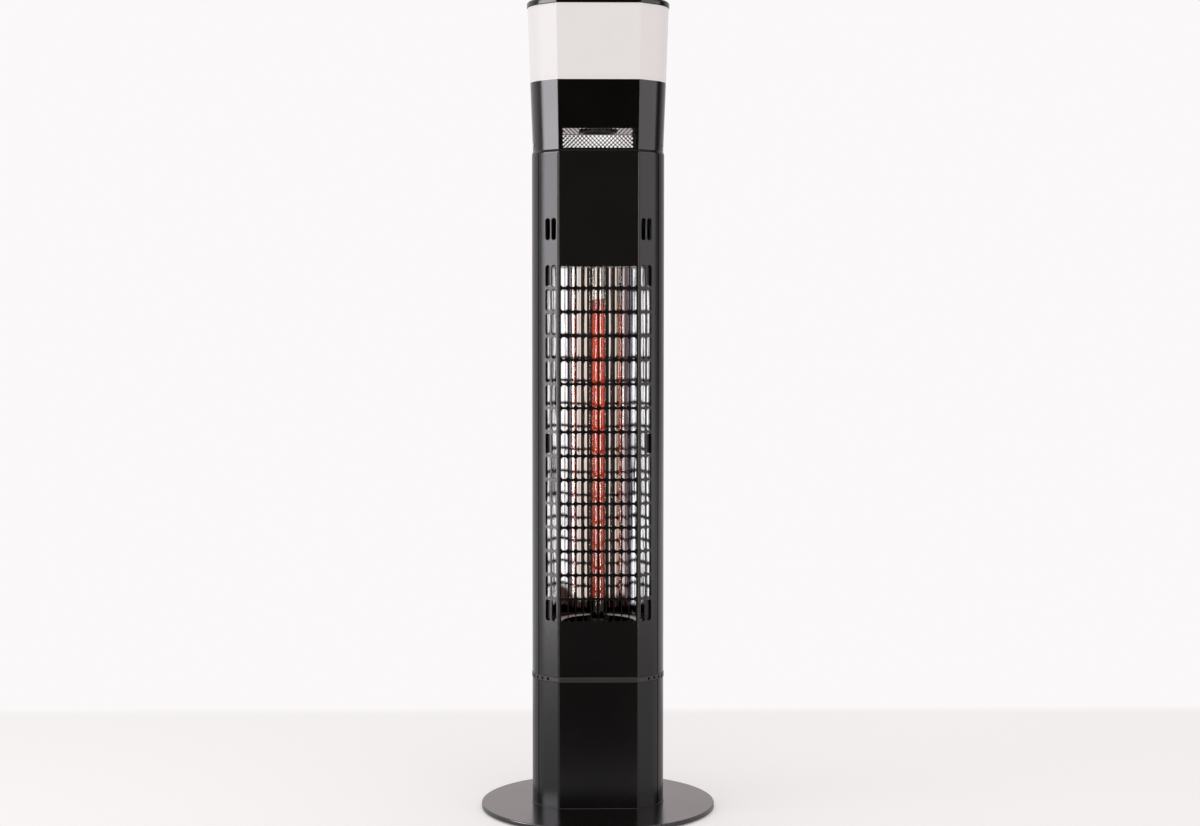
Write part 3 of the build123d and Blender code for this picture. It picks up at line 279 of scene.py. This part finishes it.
def ramp(nodes, links, fac, low, high, start=0.0, end=1.0):
    """Maps a factor from start..end onto low..high."""
    made = node(nodes, "ShaderNodeMapRange")
    made.inputs["From Min"].default_value = start
    made.inputs["From Max"].default_value = end
    made.inputs["To Min"].default_value = low
    made.inputs["To Max"].default_value = high
    links.new(fac, made.inputs["Value"])
    return made.outputs["Result"]


def banded(nodes, links, fac, stops):
    """Colour for a factor from 0 to 1, by (place, colour) stops of which the first is at 0."""
    made = node(nodes, "ShaderNodeValToRGB")
    elements = made.color_ramp.elements
    elements.remove(elements[-1])
    elements[0].position = 0.0
    elements[0].color = (*stops[0][1], 1.0)
    for place, colour in stops[1:]:
        elements.new(place).color = (*colour, 1.0)
    links.new(fac, made.inputs[0])
    return made.outputs[0]


def mix_colour(nodes, links, fac, first, second):
    """Mixes two colours or colour sockets."""
    made = node(nodes, "ShaderNodeMix", data_type="RGBA")
    feed(links, first, made.inputs["A"])
    feed(links, second, made.inputs["B"])
    links.new(fac, made.inputs["Factor"])
    return made.outputs["Result"]


def bump(nodes, links, height, strength, depth, normal=None):
    """A bump whose full height is depth metres."""
    made = node(nodes, "ShaderNodeBump", Strength=strength, Distance=depth)
    links.new(height, made.inputs["Height"])
    if normal is not None:
        links.new(normal, made.inputs["Normal"])
    return made.outputs["Normal"]


# ---- materials -----------------------------------------------------------------------------------
def black_coat(name, dark, light, gloss, grain, specular=0.5, peel_strength=0.35):
    """Black powder coat: a fine orange peel, and a slow drift of colour and gloss."""
    material, nodes, links, shader = new_material(name)
    peel = noise(nodes, links, grain, detail=3.0)
    drift = noise(nodes, links, 0.12, detail=4.0)
    links.new(mix_colour(nodes, links, drift, dark, light), shader.inputs["Base Color"])
    links.new(ramp(nodes, links, drift, gloss - 0.03, gloss + 0.04), shader.inputs["Roughness"])
    shader.inputs["Specular IOR Level"].default_value = specular
    links.new(bump(nodes, links, peel, peel_strength, 0.00005), shader.inputs["Normal"])
    return material


def moulded_black(name, colour, gloss, grain=0.0006, strength=0.25, specular=0.5):
    """Black moulded plastic with a fine spark-eroded grain."""
    material, nodes, links, shader = new_material(name)
    fine = noise(nodes, links, grain, detail=2.0)
    slow = noise(nodes, links, 0.05, detail=3.0)
    lighter = tuple(c * 1.5 for c in colour)
    links.new(mix_colour(nodes, links, slow, colour, lighter), shader.inputs["Base Color"])
    links.new(ramp(nodes, links, slow, gloss - 0.02, gloss + 0.03), shader.inputs["Roughness"])
    shader.inputs["Specular IOR Level"].default_value = specular
    links.new(bump(nodes, links, fine, strength, 0.00003), shader.inputs["Normal"])
    return material


def above_painted_foot_shade(nodes, links):
    """1 above the blotchy, sloping edge of the painted shade at the element's foot, and 0 below it.
    """
    place = components(nodes, links, object_coordinates(nodes))
    cloud = noise(nodes, links, 0.02, detail=3.0, stretch=(1.0, 1.0, 0.5))
    centred = maths(nodes, links, "SUBTRACT", cloud, 0.5)
    blotch = maths(nodes, links, "MULTIPLY", centred, FOOT_SHADE_SPREAD)
    side = FOOT_SHADE_SIDE * MM
    reach = FOOT_SHADE_REACH * MM
    stops = [
        ((x / FOOT_SHADE_SIDE + 1.0) / 2, ((rise / FOOT_SHADE_REACH + 1.0) / 2,) * 3)
        for x, rise in FOOT_SHADE_SHAPE
    ]
    shape = banded(nodes, links, ramp(nodes, links, place["X"], 0.0, 1.0, -side, side), stops)
    lift = maths(nodes, links, "ADD", blotch, ramp(nodes, links, shape, reach, -reach))
    level = maths(nodes, links, "ADD", place["Z"], lift)
    return ramp(nodes, links, level, 0.0, 1.0, FOOT_SHADE_TOP - FOOT_SHADE_FADE, FOOT_SHADE_TOP)


def polished_aluminium(name):
    """Mirror sheet bent to a trough: shallow waves, fine rolling lines and a foot darkened by
    painted shade.
    """
    material, nodes, links, shader = new_material(name)
    shader.inputs["Metallic"].default_value = 1.0
    waves = noise(nodes, links, 0.016, detail=1.5, stretch=(1.0, 1.0, 0.10))
    ripple = noise(nodes, links, 0.03, detail=2.0, stretch=(0.6, 0.6, 1.0))
    lines = noise(nodes, links, 0.0012, detail=2.0, stretch=(1.0, 1.0, 0.02))
    unshaded = above_painted_foot_shade(nodes, links)
    bright = mix_colour(nodes, links, lines, (0.86, 0.86, 0.87), (0.94, 0.94, 0.95))
    # The near-black colour below the mask is painted shade at the reflector's foot.
    tint = mix_colour(nodes, links, unshaded, (0.040, 0.022, 0.018), bright)
    links.new(tint, shader.inputs["Base Color"])
    links.new(ramp(nodes, links, lines, 0.03, 0.09), shader.inputs["Roughness"])
    first = bump(nodes, links, waves, 0.30, 0.0008)
    second = bump(nodes, links, ripple, 0.12, 0.0008, first)
    links.new(second, shader.inputs["Normal"])
    return material


def end_plate_painted_light(name):
    """Plate painted dark as shade; the edge of its curved notch carries a painted highlight."""
    material, nodes, links, shader = new_material(name)
    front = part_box("front_grille")[0][1]
    scale = (1.0 / NOTCH_X, 1.0 / NOTCH_Y, 0.0)
    from_notch = stretched(nodes, links, scale, (0.0, -front / NOTCH_Y, 0.0))
    reach = node(nodes, "ShaderNodeVectorMath", operation="LENGTH")
    links.new(from_notch, reach.inputs[0])
    cloud = noise(nodes, links, 0.006, detail=3.0)
    highlight_jitter = maths(nodes, links, "MULTIPLY", cloud, NOTCH_HIGHLIGHT_JITTER)
    jittered_reach = maths(nodes, links, "ADD", reach.outputs["Value"], highlight_jitter)
    dark = ramp(nodes, links, jittered_reach, 0.0, 1.0, NOTCH_HIGHLIGHT, NOTCH_HIGHLIGHT + NOTCH_HIGHLIGHT_JITTER)
    # Painted highlight on the notch's rim, and painted shade (a near-black mirror) over the rest of
    # the plate.
    colour = mix_colour(nodes, links, dark, (0.85, 0.84, 0.84), (0.035, 0.022, 0.02))
    links.new(colour, shader.inputs["Base Color"])
    links.new(dark, shader.inputs["Metallic"])
    links.new(ramp(nodes, links, cloud, 0.25, 0.4), shader.inputs["Roughness"])
    return material


def sheet_metal(name, colour, gloss, streak=(1.0, 1.0, 0.05)):
    """Rolled or plated sheet with fine streaks."""
    material, nodes, links, shader = new_material(name)
    shader.inputs["Metallic"].default_value = 1.0
    lines = noise(nodes, links, 0.0015, detail=3.0, stretch=streak)
    darker = tuple(c * 0.82 for c in colour)
    links.new(mix_colour(nodes, links, lines, darker, colour), shader.inputs["Base Color"])
    links.new(ramp(nodes, links, lines, gloss - 0.06, gloss + 0.08), shader.inputs["Roughness"])
    links.new(bump(nodes, links, lines, 0.2, 0.00003), shader.inputs["Normal"])
    return material


def quartz_glass(name):
    """Clear quartz with faint drawing lines along the tube, darkened at its lower end by painted
    shade.
    """
    material, nodes, links, shader = new_material(name)
    shader.inputs["Transmission Weight"].default_value = 1.0
    shader.inputs["IOR"].default_value = 1.46
    unshaded = above_painted_foot_shade(nodes, links)
    # Less coat and a dark brown tint below the mask paint shade at the tube's foot.
    links.new(ramp(nodes, links, unshaded, 0.05, 0.30), shader.inputs["Coat Weight"])
    shader.inputs["Coat IOR"].default_value = 1.9
    shader.inputs["Coat Roughness"].default_value = 0.02
    drawn = noise(nodes, links, 0.0025, detail=1.0, stretch=(1.0, 1.0, 0.01))
    glass = mix_colour(nodes, links, drawn, (0.96, 0.95, 0.93), (1.0, 0.99, 0.98))
    tint = mix_colour(nodes, links, unshaded, (0.35, 0.18, 0.14), glass)
    links.new(tint, shader.inputs["Base Color"])
    links.new(ramp(nodes, links, drawn, 0.0, 0.04), shader.inputs["Roughness"])
    return material


def glowing_carbon(name):
    """Woven carbon strip that glows dull orange in streaks, and less towards its top and foot."""
    material, nodes, links, shader = new_material(name)
    shader.inputs["Base Color"].default_value = (0.02, 0.01, 0.008, 1.0)
    shader.inputs["Roughness"].default_value = 0.7
    shader.inputs["Specular IOR Level"].default_value = 0.1
    weave = noise(nodes, links, 0.0006, detail=1.0)
    streaks = noise(nodes, links, 0.004, detail=2.0, stretch=(1.0, 1.0, 0.12))
    hot = ramp(nodes, links, streaks, 0.0, 1.0, 0.35, 0.65)
    colour = mix_colour(nodes, links, hot, (0.62, 0.010, 0.003), (1.0, 0.10, 0.015))
    links.new(colour, shader.inputs["Emission Color"])
    height = components(nodes, links, object_coordinates(nodes))["Z"]
    top = ramp(nodes, links, height, 1.0, TOP_GLOW, HEAT_TOP - HEAT_FADE, HEAT_TOP)
    foot = ramp(nodes, links, height, FOOT_GLOW, 1.0, HEAT_FOOT, HEAT_FULL)
    full = ramp(nodes, links, weave, 0.45, 0.58, 0.3, 0.7)
    glow = maths(nodes, links, "MULTIPLY", full, maths(nodes, links, "MULTIPLY", top, foot))
    links.new(glow, shader.inputs["Emission Strength"])
    return material


def opal_shade(name):
    """Opal diffuser: milky, faintly mottled, with a soft light from inside."""
    material, nodes, links, shader = new_material(name)
    mottle = noise(nodes, links, 0.03, detail=3.0)
    skin = noise(nodes, links, 0.0012, detail=2.0)
    milk = mix_colour(nodes, links, mottle, (0.84, 0.81, 0.81), (0.87, 0.84, 0.84))
    links.new(milk, shader.inputs["Base Color"])
    links.new(ramp(nodes, links, mottle, 0.32, 0.42), shader.inputs["Roughness"])
    shader.inputs["Specular IOR Level"].default_value = 0.15
    shader.inputs["Emission Color"].default_value = (1.0, 0.93, 0.92, 1.0)
    shader.inputs["Emission Strength"].default_value = 0.08
    links.new(bump(nodes, links, skin, 0.1, 0.00002), shader.inputs["Normal"])
    return material


def plain(name, dark, light, gloss, grain=0.002, metallic=0.0):
    """A moulded, cast, plated or printed surface with a grain of two tones."""
    material, nodes, links, shader = new_material(name)
    grains = noise(nodes, links, grain, detail=3.0)
    shader.inputs["Metallic"].default_value = metallic
    links.new(mix_colour(nodes, links, grains, dark, light), shader.inputs["Base Color"])
    links.new(ramp(nodes, links, grains, gloss - 0.05, gloss + 0.05), shader.inputs["Roughness"])
    links.new(bump(nodes, links, grains, 0.2, 0.00004), shader.inputs["Normal"])
    return material


def make_materials():
    """One finished material for each slot of the record."""
    return {
        "black_enamel": black_coat(
            "black_enamel", (0.002,) * 3, (0.004, 0.0036, 0.004), 0.26, 0.0011, specular=0.42
        ),
        "base_enamel": black_coat(
            "base_enamel", (0.002, 0.0015, 0.0015), (0.004, 0.003, 0.003), 0.22, 0.0008,
            specular=1.0, peel_strength=0.1,
        ),
        "black_plastic": moulded_black("black_plastic", (0.016, 0.015, 0.016), 0.42),
        "gloss_black": moulded_black(
            "gloss_black", (0.0006,) * 3, 0.19, grain=0.0009, strength=0.06, specular=0.55
        ),
        "opal_plastic": opal_shade("opal_plastic"),
        "bright_aluminium": polished_aluminium("bright_aluminium"),
        "plain_aluminium": sheet_metal("plain_aluminium", (0.62, 0.62, 0.63), 0.38),
        "zinc_steel": sheet_metal("zinc_steel", (0.66, 0.66, 0.64), 0.42, (1.0, 1.0, 1.0)),
        "black_steel": black_coat("black_steel", (0.008,) * 3, (0.014,) * 3, 0.45, 0.0009),
        "quartz": quartz_glass("quartz"),
        "carbon": glowing_carbon("carbon"),
        "ceramic": plain("ceramic", (0.16, 0.12, 0.10), (0.22, 0.17, 0.14), 0.45),
        "rubber": plain("rubber", (0.018,) * 3, (0.03,) * 3, 0.8, 0.001),
        "speaker_paper": plain("speaker_paper", (0.02,) * 3, (0.04,) * 3, 0.75, 0.0012),
        "circuit_board": plain(
            "circuit_board", (0.01, 0.09, 0.03), (0.02, 0.14, 0.05), 0.4, 0.003
        ),
        "white_plastic": plain("white_plastic", (0.72, 0.72, 0.70), (0.78, 0.78, 0.76), 0.45),
        "led_yellow": plain("led_yellow", (0.85, 0.72, 0.25), (0.9, 0.8, 0.35), 0.4, 0.001),
    }


def dress_frame(materials):
    """Gives every carried-over node the material of its slot, and a few a finish of their own."""
    for subpart in frame["record"]["subparts"]:
        obj = frame["nodes"][subpart["node"]]
        obj.data.materials.clear()
        obj.data.materials.append(materials[subpart["material_slot"]])
    # The end plates get painted shade, with a painted highlight along the notch's rim.
    shaded_plate = end_plate_painted_light("painted_light_plate")
    finishes = {
        "speaker_baffle": moulded_black(
            "polished_black", (0.002,) * 3, 0.05, grain=0.0009, strength=0.02, specular=1.0
        ),
        "element_clips": materials["black_steel"],
        "head_screws": plain(
            "satin_zinc", (0.62, 0.62, 0.60), (0.74, 0.74, 0.72), 0.4, 0.001, metallic=0.35
        ),
        "reflector_bottom_plate": shaded_plate,
        "reflector_top_plate": shaded_plate,
    }
    for name, material in finishes.items():
        frame["nodes"][name].data.materials[0] = material


# ---- stage ---------------------------------------------------------------------------------------
def light_shader(nodes, links, kind, colour, strength=1.0):
    """An Emission or Background shader of a colour and a strength, as values or sockets."""
    made = node(nodes, kind)
    feed(links, colour, made.inputs["Color"])
    feed(links, strength, made.inputs["Strength"])
    return made


def mix_shader(nodes, links, fac, first, second):
    made = node(nodes, "ShaderNodeMixShader")
    links.new(fac, made.inputs[0])
    links.new(first.outputs[0], made.inputs[1])
    links.new(second.outputs[0], made.inputs[2])
    return made


def room_colour(nodes, links, x, y):
    """Colour of the room in a direction in plan."""
    ahead = maths(nodes, links, "MULTIPLY", y, -1.0)
    azimuth = maths(nodes, links, "ARCTAN2", x, ahead)
    stops = [((degrees + 180.0) / 360.0, colour) for degrees, colour in ROOM_BANDS]
    return banded(nodes, links, ramp(nodes, links, azimuth, 0.0, 1.0, -math.pi, math.pi), stops)


def make_floor():
    """A pale floor, backdrop white far behind; in front, reflections see the room in its place."""
    mesh = bpy.data.meshes.new("floor")
    shape = bmesh.new()
    bmesh.ops.create_circle(shape, cap_ends=True, segments=FLOOR_SIDES, radius=FLOOR_RADIUS)
    shape.to_mesh(mesh)
    shape.free()
    floor = bpy.data.objects.new("floor", mesh)
    bpy.context.scene.collection.objects.link(floor)
    material = bpy.data.materials.new("floor")
    material.use_nodes = True
    nodes, links = material.node_tree.nodes, material.node_tree.links
    nodes.clear()
    matte = node(nodes, "ShaderNodeBsdfDiffuse", Color=(*FLOOR_COLOUR, 1.0))
    path = node(nodes, "ShaderNodeLightPath").outputs
    lift_strength = maths(nodes, links, "MULTIPLY", path["Is Camera Ray"], FLOOR_LIFT)
    lift = light_shader(nodes, links, "ShaderNodeEmission", FLOOR_LIFT_TINT, lift_strength)
    lit = node(nodes, "ShaderNodeAddShader")
    links.new(matte.outputs[0], lit.inputs[0])
    links.new(lift.outputs[0], lit.inputs[1])
    place = components(nodes, links, object_coordinates(nodes))
    edge = (FLOOR_EDGE_Y - FLOOR_EDGE_BLUR, FLOOR_EDGE_Y + FLOOR_EDGE_BLUR)
    far = light_shader(nodes, links, "ShaderNodeEmission", BACKDROP_TINT, BACKDROP_WHITE)
    seen = mix_shader(nodes, links, ramp(nodes, links, place["Y"], 0.0, 1.0, *edge), lit, far)
    front = ramp(nodes, links, place["Y"], 1.0, 0.0, *FLOOR_FRONT_Y)
    hidden = maths(nodes, links, "MULTIPLY", front, path["Is Glossy Ray"])
    colour = room_colour(nodes, links, place["X"], place["Y"])
    room = light_shader(nodes, links, "ShaderNodeEmission", colour)
    output = node(nodes, "ShaderNodeOutputMaterial")
    links.new(mix_shader(nodes, links, hidden, seen, room).outputs[0], output.inputs["Surface"])
    mesh.materials.append(material)


def make_world():
    """White for the camera, the room for reflections, and a soft even light for all else."""
    world = bpy.data.worlds.new("studio")
    bpy.context.scene.world = world
    world.use_nodes = True
    nodes, links = world.node_tree.nodes, world.node_tree.links
    nodes.clear()
    way = components(nodes, links, node(nodes, "ShaderNodeTexCoord").outputs["Generated"])
    room = room_colour(nodes, links, way["X"], way["Y"])
    reflected = light_shader(nodes, links, "ShaderNodeBackground", room)
    rightness = ramp(nodes, links, way["X"], 0.0, 1.0, -1.0, 1.0)
    sides = mix_colour(nodes, links, rightness, *AMBIENT_SIDES)
    ambient = light_shader(nodes, links, "ShaderNodeBackground", sides, AMBIENT)
    white = light_shader(nodes, links, "ShaderNodeBackground", BACKDROP_TINT, BACKDROP_WHITE)
    path = node(nodes, "ShaderNodeLightPath").outputs
    mirror = maths(nodes, links, "MAXIMUM", path["Is Glossy Ray"], path["Is Transmission Ray"])
    inner = mix_shader(nodes, links, mirror, ambient, reflected)
    outer = mix_shader(nodes, links, path["Is Camera Ray"], inner, white)
    output = node(nodes, "ShaderNodeOutputWorld")
    links.new(outer.outputs[0], output.inputs["Surface"])


def softbox(
    name, azimuth, distance, height, width, tall, radiance,
    tint=(1.0, 1.0, 1.0), diffuse=True, glossy=True,
):
    """A rectangular lamp; azimuth 0 is the camera's side and positive angles go to the right."""
    data = bpy.data.lights.new(name, "AREA")
    data.shape = "RECTANGLE"
    data.size = width
    data.size_y = tall
    data.energy = radiance * math.pi * width * tall
    data.color = tint
    lamp = bpy.data.objects.new(name, data)
    angle = math.radians(azimuth)
    lamp.location = (distance * math.sin(angle), -distance * math.cos(angle), height)
    lamp.rotation_mode = "QUATERNION"
    lamp.rotation_quaternion = (Vector(LIGHT_AIM) - lamp.location).to_track_quat("-Z", "Y")
    lamp.visible_camera = False
    lamp.visible_diffuse = diffuse
    lamp.visible_glossy = glossy
    bpy.context.scene.collection.objects.link(lamp)


def make_camera():
    data = bpy.data.cameras.new("camera")
    data.sensor_width = SENSOR_WIDTH
    data.lens = FOCAL_PIXELS * SENSOR_WIDTH / IMAGE_WIDTH
    camera = bpy.data.objects.new("camera", data)
    bpy.context.scene.collection.objects.link(camera)
    angle = math.radians(CAMERA_AZIMUTH)
    camera.location = (
        CAMERA_DISTANCE * math.sin(angle),
        -CAMERA_DISTANCE * math.cos(angle),
        CAMERA_HEIGHT,
    )
    swing = math.atan((IMAGE_WIDTH / 2 - AXIS_PIXEL_X) / FOCAL_PIXELS)
    turn = Matrix.Rotation(angle - swing, 4, "Z")
    pitch = Matrix.Rotation(math.radians(90.0 + CAMERA_PITCH), 4, "X")
    roll = Matrix.Rotation(math.radians(CAMERA_ROLL), 4, "Z")
    camera.matrix_world = Matrix.Translation(camera.location) @ turn @ pitch @ roll
    bpy.context.scene.camera = camera


# ---- finer pieces in the place of plain CAD nodes ------------------------------------------------
def add_piece(name, shape, material, replaced):
    """Makes a bmesh a piece of the tower that stands for a CAD node."""
    mesh = bpy.data.meshes.new(name)
    bmesh.ops.recalc_face_normals(shape, faces=shape.faces)
    shape.to_mesh(mesh)
    shape.free()
    mesh.materials.append(material)
    piece = bpy.data.objects.new(name, mesh)
    bpy.context.scene.collection.objects.link(piece)
    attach(piece, TOWER)
    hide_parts(replaced)


def flute_profile():
    """Plan of half the trough as (x, fall) points from its middle, each flute a little uneven."""
    uneven = random.Random(FLUTE_SEED)
    points = [(0.0, 0.0)]
    x = fall = 0.0
    for width, angle in FLUTES:
        strips = 1 if x > WING_START else max(1, round(width / FLUTE_STEP))
        for _ in range(strips):
            x += width / strips
            wander = uneven.uniform(-FLUTE_WANDER, FLUTE_WANDER) if strips > 1 else 0.0
            fall += width / strips * math.tan(math.radians(angle + wander))
            points.append((x, fall))
    return points


def make_reflector(material):
    """Thin sheet folded to long flutes, from flange to flange."""
    low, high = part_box("reflector")
    half = high[0] / MM - REFLECTOR_FLANGE
    back = high[1] / MM - REFLECTOR_SHEET
    mouth = low[1] / MM
    points = flute_profile()
    across = half / points[-1][0]
    down = (back - mouth) / points[-1][1]
    right = [(x * across, back - fall * down) for x, fall in points]
    right.append((half + REFLECTOR_FLANGE, mouth))
    inner = [(-x, y) for x, y in reversed(right[1:])] + right
    outer = [(x, y + REFLECTOR_SHEET) for x, y in inner]
    loop = inner + outer[::-1]
    count = len(loop)
    shape = bmesh.new()
    foot, top = (
        [shape.verts.new((x * MM, y * MM, z)) for x, y in loop] for z in (low[2], high[2])
    )
    for k in range(count):
        m = (k + 1) % count
        shape.faces.new((foot[k], foot[m], top[m], top[k]))
    for level in (foot, top):
        for k in range(len(inner) - 1):
            shape.faces.new((level[k], level[k + 1], level[count - 2 - k], level[count - 1 - k]))
    add_piece("fluted_reflector", shape, material, "reflector")


def make_filament(material):
    """A flat strip wound tightly down the middle of the tube."""
    low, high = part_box("heating_filament")
    tube_low, tube_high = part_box("quartz_tube")
    middle = (tube_low[1] + tube_high[1]) / 2
    start, end = low[2] + STRIP_WIDTH / 2 * MM, high[2] - STRIP_WIDTH / 2 * MM
    steps = STRIP_TURNS * STEPS_PER_TURN
    section = ((-0.5, -0.5), (0.5, -0.5), (0.5, 0.5), (-0.5, 0.5))
    shape = bmesh.new()
    rings = []
    for k in range(steps + 1):
        turn = 2 * math.pi * k / STEPS_PER_TURN
        height = start + (end - start) * k / steps
        ring = []
        for across, along in section:
            radius = (STRIP_RADIUS + across * STRIP_THICKNESS) * MM
            x, y = radius * math.cos(turn), middle + radius * math.sin(turn)
            ring.append(shape.verts.new((x, y, height + along * STRIP_WIDTH * MM)))
        rings.append(ring)
    for first, second in zip(rings, rings[1:]):
        for k in range(4):
            shape.faces.new((first[k], first[(k + 1) % 4], second[(k + 1) % 4], second[k]))
    shape.faces.new(rings[0])
    shape.faces.new(rings[-1])
    add_piece("wound_filament", shape, material, "heating_filament")


def octagon(shape, x, z, reaches):
    """New corners round a point in XZ, at each of two reaches by turns."""
    corners = []
    for n in range(HOLE_SIDES):
        turn = 2 * math.pi * n / HOLE_SIDES
        reach = reaches[n % 2]
        corner = (x + reach * math.cos(turn), 0.0, z + reach * math.sin(turn))
        corners.append(shape.verts.new(corner))
    return corners


def perforated_sheet(width, height, field_width, offset):
    """A flat sheet about its middle, in XZ, with staggered holes and a plain strip at each end."""
    shape = bmesh.new()
    half = HOLE_PITCH / 2
    columns = int(width / HOLE_PITCH) + 2
    rows = int(height / HOLE_PITCH) + 2
    for shift in (0.0, half):
        for i in range(-columns, columns + 1):
            for k in range(-rows, rows + 1):
                x = i * HOLE_PITCH + shift + offset[0]
                z = k * HOLE_PITCH + shift + offset[1]
                rim = octagon(shape, x, z, (half, half / math.sqrt(2)))
                if abs(x) >= field_width / 2 - HOLE_REACH[0]:
                    shape.faces.new(rim)
                    continue
                hole = octagon(shape, x, z, HOLE_REACH)
                for n in range(HOLE_SIDES):
                    m = (n + 1) % HOLE_SIDES
                    shape.faces.new((rim[n], rim[m], hole[m], hole[n]))
    for across, up in ((1, 0), (-1, 0), (0, 1), (0, -1)):
        bmesh.ops.bisect_plane(
            shape,
            geom=shape.verts[:] + shape.edges[:] + shape.faces[:],
            plane_co=(across * width / 2, 0, up * height / 2),
            plane_no=(across, 0, up),
            clear_outer=True,
        )
    bmesh.ops.remove_doubles(shape, verts=shape.verts[:], dist=WELD_DISTANCE)
    return shape


def make_window_mesh(name, replaced, face, offset, material):
    """A perforated sheet that leans with the head's wall; face is -1 in front and 1 behind."""
    low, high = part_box(replaced)
    width, depth, rise = ((b - a) / MM for a, b in zip(low, high))
    lean = math.atan((depth - MESH_THICKNESS) / rise)
    height = rise / math.cos(lean) - MESH_PLAY
    shape = perforated_sheet(width, height, width - 2 * WINDOW_BORDER, offset)
    bmesh.ops.solidify(shape, geom=shape.faces[:], thickness=MESH_THICKNESS)
    middle = Vector([(a + b) / 2 for a, b in zip(low, high)])
    centre = sum((v.co for v in shape.verts), Vector()) / len(shape.verts)
    centring = Matrix.Translation((0, -centre.y, 0))
    tilt = Matrix.Rotation(-face * lean, 4, "X")
    place = Matrix.Translation(middle) @ Matrix.Scale(MM, 4) @ tilt @ centring
    bmesh.ops.transform(shape, matrix=place, verts=shape.verts)
    add_piece(name, shape, material, replaced)


# ---- the scene -----------------------------------------------------------------------------------
def main():
    materials = make_materials()
    dress_frame(materials)
    make_reflector(materials["bright_aluminium"])
    make_filament(materials["carbon"])
    black_steel = materials["black_steel"]
    make_window_mesh("front_perforated", "front_mesh", -1, FRONT_PATTERN, black_steel)
    make_window_mesh("rear_perforated", "rear_mesh", 1, REAR_PATTERN, black_steel)
    make_floor()
    make_world()
    for name, values in SOFTBOXES.items():
        softbox(name, **values)
    make_camera()
    bpy.context.scene.view_settings.view_transform = "Standard"


main()
